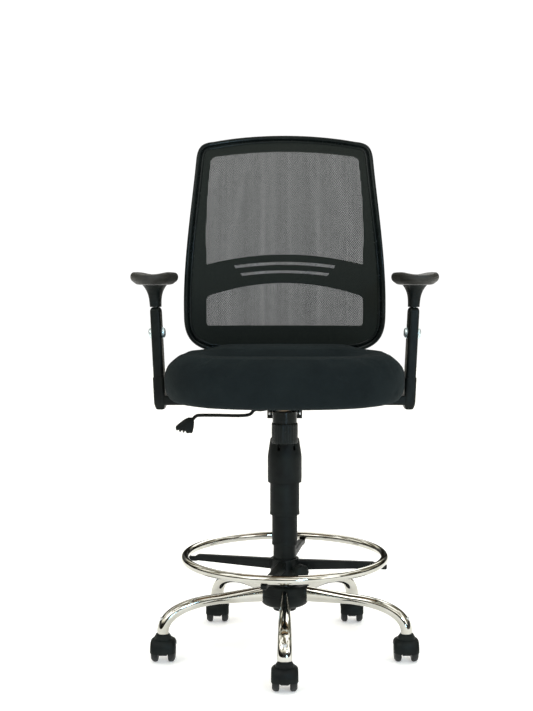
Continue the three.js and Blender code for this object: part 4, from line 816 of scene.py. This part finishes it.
def arm_blade():
    z0, z1 = box("arm_neck_left")[0][2], box("arm_upright_left")[1][2] + 8 * MM
    levels = [(z0, 8 * MM, 38 * MM), (z1, 8 * MM, 38 * MM)]
    return "arm_blade", [post(levels, 10, 40)], "arm", "zinc_steel", "arm_neck"


def arm_pad():
    """The pad: a superellipse in plan whose rim is rounded, whose underside slopes in to the neck and
    whose top is hollowed across, lowest along the middle."""
    low, high = box("arm_pad_left")
    cx = (low[0] + high[0]) / 2
    half = np.array([(high[0] - low[0]) / 2, (high[1] - low[1]) / 2])
    z0, z1 = low[2], high[2]
    rim = [
        (20 * MM, z0), (13 * MM, z0 + 1 * MM), (2.5 * MM, z0 + 9 * MM), (0, z0 + 15 * MM),
        (0.5 * MM, z1 - 6 * MM), (5 * MM, z1 - 0.6 * MM), (14 * MM, z1),
    ]
    rim = softened(rim, [3 * MM, 4 * MM, 4 * MM, 4 * MM, 4 * MM], 5)
    inward = np.linspace(14 * MM, half[0], 10)[1:]
    rim = np.vstack([rim, np.stack([inward, z1 + 0 * inward], -1)])
    inset, z = rim[:, 0], rim[:, 1]
    share = inset / half[0]
    closing = 60 * MM * share * (share > 0.37) * (z > z1 - 1 * MM)
    ring = squircle(half[0] - inset, half[1] - inset - closing, 3.0, 96)
    x, y = ring[..., 0], ring[..., 1]
    on_top = np.clip((z - (z1 - 8 * MM)) / (8 * MM), 0, 1)[:, None]
    bow = 5 * MM * on_top * (1 - np.clip(np.abs(x) / (0.72 * half[0]), 0, 1) ** 2) ** 1.2
    height = z[:, None] - bow - 2.5 * MM * on_top * (np.abs(y) / half[1]) ** 4
    grid = np.stack([x + cx, y + ARM_Y, height], -1)
    return "arm_cap", [skin(grid)], "arm", "soft_plastic", "arm_pad"


def arm_bolt():
    """The clamp bolt: a domed head on each face of the upright, with a washer under it."""
    face = 11.8 * MM
    head = [(0, face), (13 * MM, face), (13 * MM, face + 1.2 * MM), (11.6 * MM, face + 1.4 * MM),
            (11 * MM, face + 4.4 * MM), (7.5 * MM, face + 6.8 * MM), (0, face + 7.4 * MM)]
    head = turned(softened(head, [0.3 * MM, 0.5 * MM, 0.3 * MM, 2 * MM, 3 * MM], 5), 56)
    tilt = np.radians(3)
    at = middle("arm_bolt_left")
    shells = [carried(head, about_y(tilt) @ about_y(turn), at) for turn in (np.pi / 2, -np.pi / 2)]
    return "arm_bolt_heads", shells, "seat_unit", "chrome", "arm_bolt"


def arms():
    """Both arms: each piece is worked out on the left and mirrored in X for the right. The bolts are in
    the chrome slot, and their finish is the paler zinc."""
    for make_part in (arm_bracket, arm_upright, arm_neck, arm_blade, arm_pad, arm_bolt):
        for side, sign in (("left", 1), ("right", -1)):
            name, shells, body, slot, node = make_part()
            shells = [carried(shell, np.diag([sign, 1, 1])) for shell in shells]
            body = f"arm_{side}" if body == "arm" else body
            nodes = [f"{node}_{side}"] if node else []
            finish = "bright_zinc" if slot == "chrome" else slot
            settle(assemble(f"{name}_{side}", shells), body, slot, *nodes, finish=finish)


# ---- Back ------------------------------------------------------------------------------------
BACK_LOW, BACK_HIGH = box("back_frame")
BACK_Z0, BACK_Z1 = BACK_LOW[2], BACK_HIGH[2]
LUMBAR_Z = 800 * MM
BACK_BOW = 0.42
BACK_WRAP = 0.48
BACK_Y = 220.4 * MM
PANEL_WALL = 9 * MM


def back_y(x, z):
    """The panel's front face: parabolas up the back and across it."""
    return BACK_Y + BACK_BOW * (z - LUMBAR_Z) ** 2 - BACK_WRAP * x**2


def back_outline():
    """The right half as cubic curves from the bottom's middle to the top's, then mirrored; evenly spaced."""
    half, top_half = 238 * MM, 212 * MM
    bottom, top = BACK_Z0, BACK_Z1
    low = np.array([half - 58 * MM, bottom + 13 * MM])
    side_low = np.array([half, low[1] + 84 * MM])
    high = np.array([top_half - 42 * MM, top - 17 * MM])
    side_high = np.array([top_half, high[1] - 44 * MM])
    rise = side_high[1] - side_low[1]
    parts = [
        bezier((0, bottom), (0.5 * low[0], bottom), (0.8 * low[0], low[1] - 6 * MM), low, 40),
        bezier(low, low + [0.7 * (half - low[0]), 12 * MM], side_low - [0, 50 * MM], side_low, 40),
        bezier(side_low, side_low + [3 * MM, 0.33 * rise], side_high + [8 * MM, -0.3 * rise], side_high, 60),
        bezier(side_high, side_high + [-3 * MM, 32 * MM], high + [28 * MM, -3 * MM], high, 40),
        bezier(high, (0.7 * high[0], high[1] + 0.65 * 17 * MM), (0.35 * high[0], top), (0, top), 40),
    ]
    half_line = np.vstack([part[:-1] for part in parts] + [[(0, top)]])
    line = np.vstack([half_line, half_line[-2:0:-1] * [-1, 1]])
    closed = np.vstack([line, line[:1]])
    length = np.r_[0, np.cumsum(np.linalg.norm(np.diff(closed, axis=0), axis=1))]
    at = np.linspace(0, length[-1], 361)[:-1]
    return np.stack([np.interp(at, length, closed[:, k]) for k in (0, 1)], -1)


def inset_line(line, inset):
    """A closed line moved inwards, square to itself."""
    tangent = np.roll(line, -1, 0) - np.roll(line, 1, 0)
    tangent /= np.linalg.norm(tangent, axis=1)[:, None]
    inward = np.stack([-tangent[:, 1], tangent[:, 0]], -1)
    return line + inward * inset


OUTLINE = back_outline()


def arch(x, half, mid, end):
    """A shallow arch: mid at the centre, end at plus and minus half."""
    return mid + (end - mid) * (x / half) ** 2


def mirrored(right):
    """A closed line from its right half, which runs from bottom to top."""
    right = np.asarray(right, float)
    return np.vstack([right, right[::-1] * [-1, 1]])


def upper_window():
    x = np.linspace(0, 185 * MM, 40)[1:]
    sill = np.stack([x, arch(x, 185 * MM, 878 * MM, 854 * MM)], -1)
    side = bezier(sill[-1], (189 * MM, 930 * MM), (186 * MM, 1020 * MM), (178 * MM, 1100 * MM), 40)[1:]
    corner = bezier(side[-1], (177 * MM, 1112 * MM), (169 * MM, 1117 * MM), (154 * MM, 1118 * MM), 12)[1:]
    x = np.linspace(154 * MM, 0, 36)[1:-1]
    head = np.stack([x, arch(x, 154 * MM, 1130 * MM, 1118 * MM)], -1)
    return mirrored(np.vstack([sill, side, corner, head]))


def lower_window():
    x = np.linspace(0, 177 * MM, 36)[1:]
    sill = np.stack([x, 708 * MM + 0 * x], -1)
    low_corner = bezier(sill[-1], (183 * MM, 708 * MM), (185 * MM, 712 * MM), (186 * MM, 722 * MM), 10)[1:]
    side = np.linspace(low_corner[-1], (185 * MM, 768 * MM), 10)[1:]
    corner = bezier(side[-1], (185 * MM, 777 * MM), (180 * MM, 781 * MM), (168 * MM, 783.5 * MM), 10)[1:]
    x = np.linspace(168 * MM, 0, 36)[1:-1]
    head = np.stack([x, arch(x, 168 * MM, 810 * MM, 783.5 * MM)], -1)
    return mirrored(np.vstack([sill, low_corner, side, corner, head]))


def slot_window(half, mid, end, height):
    """A thin arched slot whose ends slope in towards the bottom."""
    low = np.linspace(0, half - 5 * MM, 30)[1:]
    high = np.linspace(half, 0, 30)[:-1]
    bottom = np.stack([low, arch(low, half, mid, end) - height / 2], -1)
    top = np.stack([high, arch(high, half, mid, end) + height / 2], -1)
    return mirrored(np.vstack([bottom, top]))


def inside(points, line):
    """True for each point that a closed line goes round: an odd number of its sides lie to the right."""
    x, z = points[:, :1], points[:, 1:]
    x0, z0 = line.T
    x1, z1 = np.roll(line, -1, 0).T
    spans = (z0 > z) != (z1 > z)
    rise = np.where(z1 == z0, 1, z1 - z0)
    crossing = x0 + (z - z0) / rise * (x1 - x0)
    return ((spans & (x < crossing)).sum(1) % 2) == 1


def back_panel():
    """The flat of the frame: a fine triangulation of its outline with the windows left out, laid on
    the back's curve and given its thickness and softened edges."""
    rim = inset_line(OUTLINE, 6 * MM)
    windows = [upper_window(), lower_window(), slot_window(121 * MM, 857 * MM, 848 * MM, 7.4 * MM),
               slot_window(106 * MM, 837 * MM, 829.5 * MM, 6.8 * MM)]
    loops = [rim, *windows]
    step, reach = 11 * MM, 0.24
    xs, zs = np.meshgrid(np.arange(-reach, reach + 0.0001, step), np.arange(BACK_Z0, BACK_Z1, step))
    fill = np.stack([xs.ravel(), zs.ravel()], -1)
    keep = inside(fill, inset_line(OUTLINE, 11 * MM))
    for window in windows:
        keep &= ~inside(fill, inset_line(window, -4 * MM))
    points = np.vstack([*loops, fill[keep]])
    edges, start = [], 0
    for loop in loops:
        n = len(loop)
        edges += [(start + i, start + (i + 1) % n) for i in range(n)]
        start += n
    made = delaunay_2d_cdt([tuple(p) for p in points], edges, [], 0, 1e-7)
    flat = np.array([tuple(p) for p in made[0]])
    faces = np.array([tuple(f) for f in made[2]])
    centres = flat[faces].mean(1)
    solid = inside(centres, rim)
    for window in windows:
        solid &= ~inside(centres, window)
    x, z = flat.T
    grid = np.stack([x, back_y(x, z) + 0.1 * MM, z], -1)
    piece = make("back_panel", grid, faces[solid].tolist(), outward=False)
    if piece.data.polygons[0].normal.y > 0:
        piece.data.flip_normals()
    wall = piece.modifiers.new("wall", "SOLIDIFY")
    wall.thickness = PANEL_WALL
    wall.offset = -1
    edge = piece.modifiers.new("edge", "BEVEL")
    edge.width = 1.2 * MM
    edge.segments = 2
    edge.limit_method = "ANGLE"
    edge.angle_limit = np.radians(50)
    settle(piece, "seat_unit", "gloss_plastic", "back_frame")


def back_rim():
    """The rim: a section with a broad round lip, a groove and a thin inner lip, carried round the
    outline. A section's first number goes inwards from the edge and its second forwards."""
    section = [
        (2, -9.5), (0.2, -7), (0, -2), (0, 4), (1.5, 8), (5, 9.6), (8.5, 8.6), (10.6, 5.2), (11.4, 3),
        (12.2, 3), (13.2, 6.4), (15, 7.8), (17.4, 7.4), (18.8, 6.2), (19, 1), (19, -1), (12, -9),
        (6, -9.8), (2, -9.5),
    ]
    section = softened(np.array(section) * MM, 1.4 * MM, 4)[:-1]
    rings = np.stack([inset_line(OUTLINE, inset) for inset in section[:, 0]], 1)
    x, z = rings[..., 0], rings[..., 1]
    grid = np.stack([x, back_y(x, z) - section[:, 1], z], -1)
    settle(make("back_rim", *skin(grid, loop_rows=True)), "seat_unit", "gloss_plastic")


MESH_PITCH = 2.3 * MM
MESH_STEP = 1.9 * MM
MESH_SWING = 0.16 * MM
YARN_SPREAD = 0.016 * MM


def back_mesh():
    """The stretched mesh: upright yarns side by side, each zigzagging against its neighbours so that
    rows of small diamonds stay open between them, a little wider towards the top. The yarns' widths
    differ slightly. All lie on one curved sheet just in front of the panel."""
    line = inset_line(OUTLINE, 15 * MM)
    count = int(0.47 / MESH_PITCH)
    centre = (np.arange(count) - (count - 1) / 2) * MESH_PITCH
    z = np.arange(BACK_Z0 + 8 * MM, BACK_Z1 - 8 * MM, MESH_STEP)
    zigzag = np.where(np.arange(len(z)) % 2, 1, -1)
    phase = np.where(np.arange(count) % 2, 1, -1)
    shift = MESH_SWING * phase[:, None] * zigzag
    uneven = YARN_SPREAD * np.random.default_rng(4).standard_normal(count).clip(-1.5, 1.5)
    share = (z - z[0]) / (z[-1] - z[0])
    half = MESH_PITCH / 2 - MESH_SWING * (0.92 + 0.14 * share) + uneven[:, None]
    left = centre[:, None] + shift - half
    right = centre[:, None] + shift + half
    x = np.stack([left, right], -1)
    height = np.broadcast_to(z[None, :, None], x.shape)
    lift = 5.6 * MM + 0.25 * MM * phase[:, None, None] * zigzag[None, :, None]
    grid = np.stack([x, back_y(x, height) - lift, height], -1)
    index = np.arange(grid[..., 0].size).reshape(count, len(z), 2)
    quads = np.stack([index[:, :-1, 0], index[:, :-1, 1], index[:, 1:, 1], index[:, 1:, 0]], -1)
    quads = quads.reshape(-1, 4)
    points = grid.reshape(-1, 3)
    held = inside(points[:, [0, 2]], line)
    quads = quads[held[quads].all(1)]
    used, compact = np.unique(quads, return_inverse=True)
    piece = make("back_net", points[used], compact.reshape(-1, 4).tolist(), outward=False, sharp=180)
    settle(piece, "seat_unit", "mesh_fabric", "back_mesh")


def back_bracket():
    """The bar that carries the back: a flat strip that runs back under the seat, bends up and widens
    into a plate behind the panel."""
    low, high = box("back_bracket")
    flat_z = low[2] + 4 * MM
    thick, bend = 4 * MM, 52 * MM
    behind_panel = PANEL_WALL + 0.8 * MM + thick
    stand = back_y(0, BACK_Z0) + behind_panel + 2 * MM
    level = np.linspace((low[1], flat_z), (stand - bend, flat_z), 14)[:-1]
    t = np.linspace(0, 1, 20)[:, None]
    a, b = np.array([stand - bend, flat_z]), np.array([stand, flat_z])
    c = np.array([stand, flat_z + bend + 6 * MM])
    curve = (1 - t) ** 2 * a + 2 * t * (1 - t) * b + t**2 * c
    up = np.linspace(c, (back_y(0, high[2]) + behind_panel, high[2]), 16)[1:]
    line = np.vstack([level, curve, up])
    spread_up = np.r_[np.zeros(len(level) + len(curve)), np.clip(np.linspace(0, 2.4, len(up)), 0, 1)]
    half = (35 + 21 * (3 * spread_up**2 - 2 * spread_up**3)) * MM
    path = np.stack([0 * line[:, 0], line[:, 0], line[:, 1]], -1)
    shell = swept(path, squircle(half, thick + 0 * half, 9, 48), (1, 0, 0))
    settle(make("back_bar", *shell), "seat_unit", "black_steel", "back_bracket")


# ---- Seat cushion ----------------------------------------------------------------------------
SEAT_LOW, SEAT_HIGH = box("seat_cushion")
SEAT_Y = (SEAT_LOW[1] + SEAT_HIGH[1]) / 2
SEAT_HALF = np.array([(SEAT_HIGH[0] - SEAT_LOW[0]) / 2, (SEAT_HIGH[1] - SEAT_LOW[1]) / 2])
SEAT_TOP = SEAT_HIGH[2]


def step_between(value, start, end):
    """0 before start, 1 after end, and a smooth rise between."""
    t = np.clip((value - start) / (end - start), 0, 1)
    return t * t * (3 - 2 * t)


def seam_y(x):
    """Where the raised panel's front edge runs: straight across the middle, then back at the sides."""
    return -62 * MM + 95 * MM * np.clip(np.abs(x) / (200 * MM), 0, 1.2) ** 3.2


def seat_relief(x, y):
    """How far the seat's top stands above or below its rim level: a front roll, a shallow dip behind
    it, a raised rear panel with a curved front edge, and a low bolster along each side."""
    roll = 3 * MM * np.exp(-(((y + 165 * MM) / (60 * MM)) ** 2))
    seam = seam_y(x)
    panel = 14 * MM * step_between(y - seam, 0, 46 * MM) * (1 - step_between(np.abs(x), 125 * MM, 205 * MM))
    dip = -9 * MM * np.exp(-(((y - seam) / (34 * MM)) ** 2))
    dip = dip * (1 - step_between(np.abs(x), 120 * MM, 200 * MM))
    bolster = 2.5 * MM * np.exp(-(((np.abs(x) - 205 * MM) / (30 * MM)) ** 2))
    return roll + panel + dip + bolster


def cushion_shell(shrink):
    """The cushion as rings, superellipses in plan: out of the hollow that takes the seat's shell, round
    the lower edge, up the side and over a quarter of an oval on to the top, which closes inwards. The
    lower edge hangs lowest at the front."""
    recess = box("seat_shell")[1][2] + 1.5 * MM
    under = np.array([(47, 20), (45, 3), (38, 0), (20, 0), (10, 3), (4, 10), (1, 20), (0, 32)]) * MM
    under = softened(under, 6 * MM, 4)
    t = np.linspace(0, np.pi / 2, 22)[1:]
    over = np.stack([38 * MM * (1 - np.cos(t) ** 0.7), 40 * MM * np.sin(t) ** 0.7], -1)
    inset = np.r_[under[:, 0], over[:, 0]] + shrink
    edge = inset[-1]
    shares = np.linspace(1, 0.02, 24)[1:]
    half_x = np.r_[SEAT_HALF[0] - inset, (SEAT_HALF[0] - edge) * shares]
    half_y = np.r_[SEAT_HALF[1] - inset, (SEAT_HALF[1] - edge) * shares]
    ring = squircle(half_x, half_y, 3.3, 180)
    x, y = ring[..., 0], ring[..., 1]
    front = np.clip(-y / SEAT_HALF[1], 0, 1) ** 2
    lip = 560 * MM - 10 * MM * front * (1 - 0.5 * (np.abs(x) / SEAT_HALF[0]) ** 2)
    waist = SEAT_TOP - 48 * MM
    rows = len(under)
    low = lip[:rows] + under[:, 1:] * (waist - lip[:rows]) / (32 * MM)
    low[0] = recess
    high = waist + np.r_[over[:, 1], np.full(len(shares), over[-1, 1])][:, None]
    lift = np.r_[over[:, 1] / over[-1, 1], np.ones(len(shares))][:, None] ** 3
    high = high + lift * seat_relief(x[rows:], y[rows:] + SEAT_Y)
    height = np.vstack([low, high + 0 * x[rows:]])
    return np.stack([x, y + SEAT_Y, height], -1)


def points_of(data):
    """The points of a mesh, as one row each."""
    points = np.empty(len(data.vertices) * 3, np.float32)
    data.vertices.foreach_get("co", points)
    return points.reshape(-1, 3)


def apply(piece, modifier):
    bpy.context.view_layer.objects.active = piece
    bpy.ops.object.modifier_apply(modifier=modifier.name)


def swell(piece, pressure, cap, frames=20):
    """Inflates a closed cloth: it is remeshed finely, blown up with gravity off, and no point may move
    more than the cap."""
    remesh = piece.modifiers.new("remesh", "REMESH")
    remesh.mode = "VOXEL"
    remesh.voxel_size = 5 * MM
    apply(piece, remesh)
    start = points_of(piece.data)
    pins = piece.vertex_groups.new(name="pins")
    low = np.flatnonzero(start[:, 2] < SEAT_LOW[2] + 20 * MM)
    pins.add(low.tolist(), 1.0, "REPLACE")
    cloth = piece.modifiers.new("cloth", "CLOTH")
    cloth.settings.vertex_group_mass = "pins"
    cloth.settings.use_pressure = True
    cloth.settings.uniform_pressure_force = pressure
    cloth.settings.effector_weights.gravity = 0
    cloth.settings.quality = 4
    cloth.settings.tension_stiffness = 8
    cloth.settings.bending_stiffness = 2
    cloth.settings.shrink_min = -0.018
    cloth.collision_settings.use_collision = False
    scene = bpy.context.scene
    for frame_number in range(1, frames + 1):
        scene.frame_set(frame_number)
    move = points_of(piece.evaluated_get(bpy.context.evaluated_depsgraph_get()).data) - start
    piece.modifiers.remove(cloth)
    scene.frame_set(1)
    length = np.linalg.norm(move, axis=1)[:, None]
    move *= np.minimum(1, cap / np.maximum(length, 1e-9))
    piece.data.vertices.foreach_set("co", (start + move).ravel())
    piece.data.update()


def relax(piece, factor, times):
    """Evens out small bumps: each point moves towards the middle of its neighbours."""
    smooth = piece.modifiers.new("relax", "SMOOTH")
    smooth.factor = factor
    smooth.iterations = times
    apply(piece, smooth)


def lay_weave(piece):
    """UVs in metres from the face's main direction: top and bottom from above, front and back from the
    front with the height carried on, and the sides from the side."""
    data = piece.data
    count = len(data.loops)
    corner = np.empty(count, np.int32)
    data.loops.foreach_get("vertex_index", corner)
    points = points_of(data)[corner]
    normals = np.empty(len(data.polygons) * 3, np.float32)
    data.polygons.foreach_get("normal", normals)
    totals = np.empty(len(data.polygons), np.int32)
    data.polygons.foreach_get("loop_total", totals)
    facing = np.abs(normals.reshape(-1, 3)).repeat(totals, 0).argmax(1)
    u = np.where(facing == 0, points[:, 1], points[:, 0])
    v = np.where(facing == 2, points[:, 1], points[:, 2])
    layer = data.uv_layers.new(name="weave")
    layer.data.foreach_set("uv", np.stack([u, v], -1).astype(np.float32).ravel())


def cushion():
    """The cushion, blown up a little, then seamed: a fine groove along the raised panel's front edge."""
    piece = make("seat_pad", *skin(cushion_shell(1 * MM)))
    swell(piece, 4.0, 5 * MM)
    relax(piece, 0.5, 2)
    data = piece.data
    points = points_of(data)
    x, y, z = points.T
    on_top = step_between(z, SEAT_TOP - 25 * MM, SEAT_TOP - 8 * MM)
    groove = np.exp(-(((y - seam_y(x)) / (5 * MM)) ** 2)) * on_top
    groove = groove * (1 - step_between(np.abs(x), 185 * MM, 225 * MM))
    points[:, 2] -= 2.2 * MM * groove
    data.vertices.foreach_set("co", points.ravel())
    data.update()
    lay_weave(piece)
    data.shade_smooth()
    finer = piece.modifiers.new("finer", "SUBSURF")
    finer.levels = finer.render_levels = 1
    settle(piece, "seat_unit", "seat_fabric", "seat_cushion")


# ---- The rest: CAD nodes that keep their shape ------------------------------------------------
def finish_cad_nodes():
    """Every CAD node that still shows gets the procedural finish of its slot."""
    slots = {entry["node"]: entry["material_slot"] for entry in frame["record"]["subparts"]}
    for name, node in frame["nodes"].items():
        node.data.materials.clear()
        node.data.materials.append(FINISH[slots[name]])


# ---- Floor and light -------------------------------------------------------------------------
def floor():
    """A wide white floor. Past its edge the white background shows."""
    data = bpy.data.meshes.new("floor")
    reach = 9.0
    corners = [(-reach, -reach, 0), (reach, -reach, 0), (reach, reach, 0), (-reach, reach, 0)]
    data.from_pydata(corners, [], [(0, 1, 2, 3)])
    ground = bpy.data.objects.new("floor", data)
    bpy.context.scene.collection.objects.link(ground)
    finish, _, shader = new_finish("floor", 0.9)
    shader.inputs["Base Color"].default_value = (0.93, 0.93, 0.92, 1)
    shader.inputs["Specular IOR Level"].default_value = 0.1
    shader.inputs["Emission Color"].default_value = (1, 1, 1, 1)
    shader.inputs["Emission Strength"].default_value = 0.34
    data.materials.append(finish)


def lamp(name, at, size, power, colour=(1, 1, 1), aim=(0, 0, 0.7)):
    """A soft square light that faces a point."""
    data = bpy.data.lights.new(name, "AREA")
    data.size = size
    data.energy = power
    data.color = colour
    light = bpy.data.objects.new(name, data)
    light.location = at
    towards = np.array(aim) - np.array(at)
    flat = np.hypot(towards[0], towards[1])
    light.rotation_euler = (np.arctan2(flat, -towards[2]), 0, np.arctan2(towards[1], towards[0]) - np.pi / 2)
    bpy.context.scene.collection.objects.link(light)


def studio():
    """A white room for the camera; what the chrome sees is a ceiling of bright panels over a dark wall."""
    world = bpy.data.worlds.new("studio")
    bpy.context.scene.world = world
    world.use_nodes = True
    tree = world.node_tree
    background = tree.nodes["Background"]
    split = tree.nodes.new("ShaderNodeSeparateXYZ")
    tree.links.new(place(tree, "Generated"), split.inputs["Vector"])
    ramp = tree.nodes.new("ShaderNodeValToRGB")
    stops = [
        (0.0, (0.8, 0.78, 0.72)), (0.49, (0.5, 0.48, 0.42)), (0.51, (0.02, 0.02, 0.02)),
        (0.64, (0.05, 0.05, 0.05)), (0.70, (0.55, 0.53, 0.46)), (0.80, (1.0, 1.0, 1.0)),
    ]
    while len(ramp.color_ramp.elements) < len(stops):
        ramp.color_ramp.elements.new(0.5)
    for element, (position, colour) in zip(ramp.color_ramp.elements, stops):
        element.position = position
        element.color = (*colour, 1)
    height = maths(tree, "MULTIPLY_ADD", split.outputs["Z"], 0.5, 0.5)
    tree.links.new(height, ramp.inputs["Fac"])
    panels = between(tree, noise(tree, 2.8, 1, "Generated"), (0.13, 0.12, 0.09), (1, 1, 0.97), 0.44, 0.54)
    ceiling = tree.nodes.new("ShaderNodeMix")
    ceiling.data_type = "RGBA"
    ceiling.blend_type = "MULTIPLY"
    ceiling.inputs["Factor"].default_value = 1
    tree.links.new(ramp.outputs["Color"], ceiling.inputs["A"])
    tree.links.new(panels, ceiling.inputs["B"])
    white = tree.nodes.new("ShaderNodeBackground")
    white.inputs["Color"].default_value = (1, 1, 1, 1)
    white.inputs["Strength"].default_value = 1.05
    tree.links.new(ceiling.outputs["Result"], background.inputs["Color"])
    background.inputs["Strength"].default_value = 2.3
    path = tree.nodes.new("ShaderNodeLightPath")
    mix = tree.nodes.new("ShaderNodeMixShader")
    tree.links.new(path.outputs["Is Camera Ray"], mix.inputs["Fac"])
    tree.links.new(background.outputs["Background"], mix.inputs[1])
    tree.links.new(white.outputs["Background"], mix.inputs[2])
    tree.links.new(mix.outputs["Shader"], tree.nodes["World Output"].inputs["Surface"])
    lamp("key", (-1.7, -2.4, 2.6), 1.4, 22)
    lamp("fill", (2.4, -2.0, 1.4), 1.2, 10)
    lamp("window", (1.1, -3.2, 1.5), 0.5, 26, colour=(0.45, 0.75, 1.0))
    lamp("low_window", (0.85, -3.2, 0.30), 0.35, 6, colour=(0.45, 0.75, 1.0), aim=(0, 0, 0.5))
    lamp("back", (0.6, 2.6, 2.2), 1.6, 12)
    bpy.context.scene.view_settings.view_transform = "Standard"


make_camera()
star_base()
hub_cover()
casters()
column()
foot_ring()
spider()
ring_knob()
tension_knob()
pivot_pin()
lever()
paddle()
arms()
back_panel()
back_rim()
back_mesh()
back_bracket()
cushion()
finish_cad_nodes()
floor()
studio()
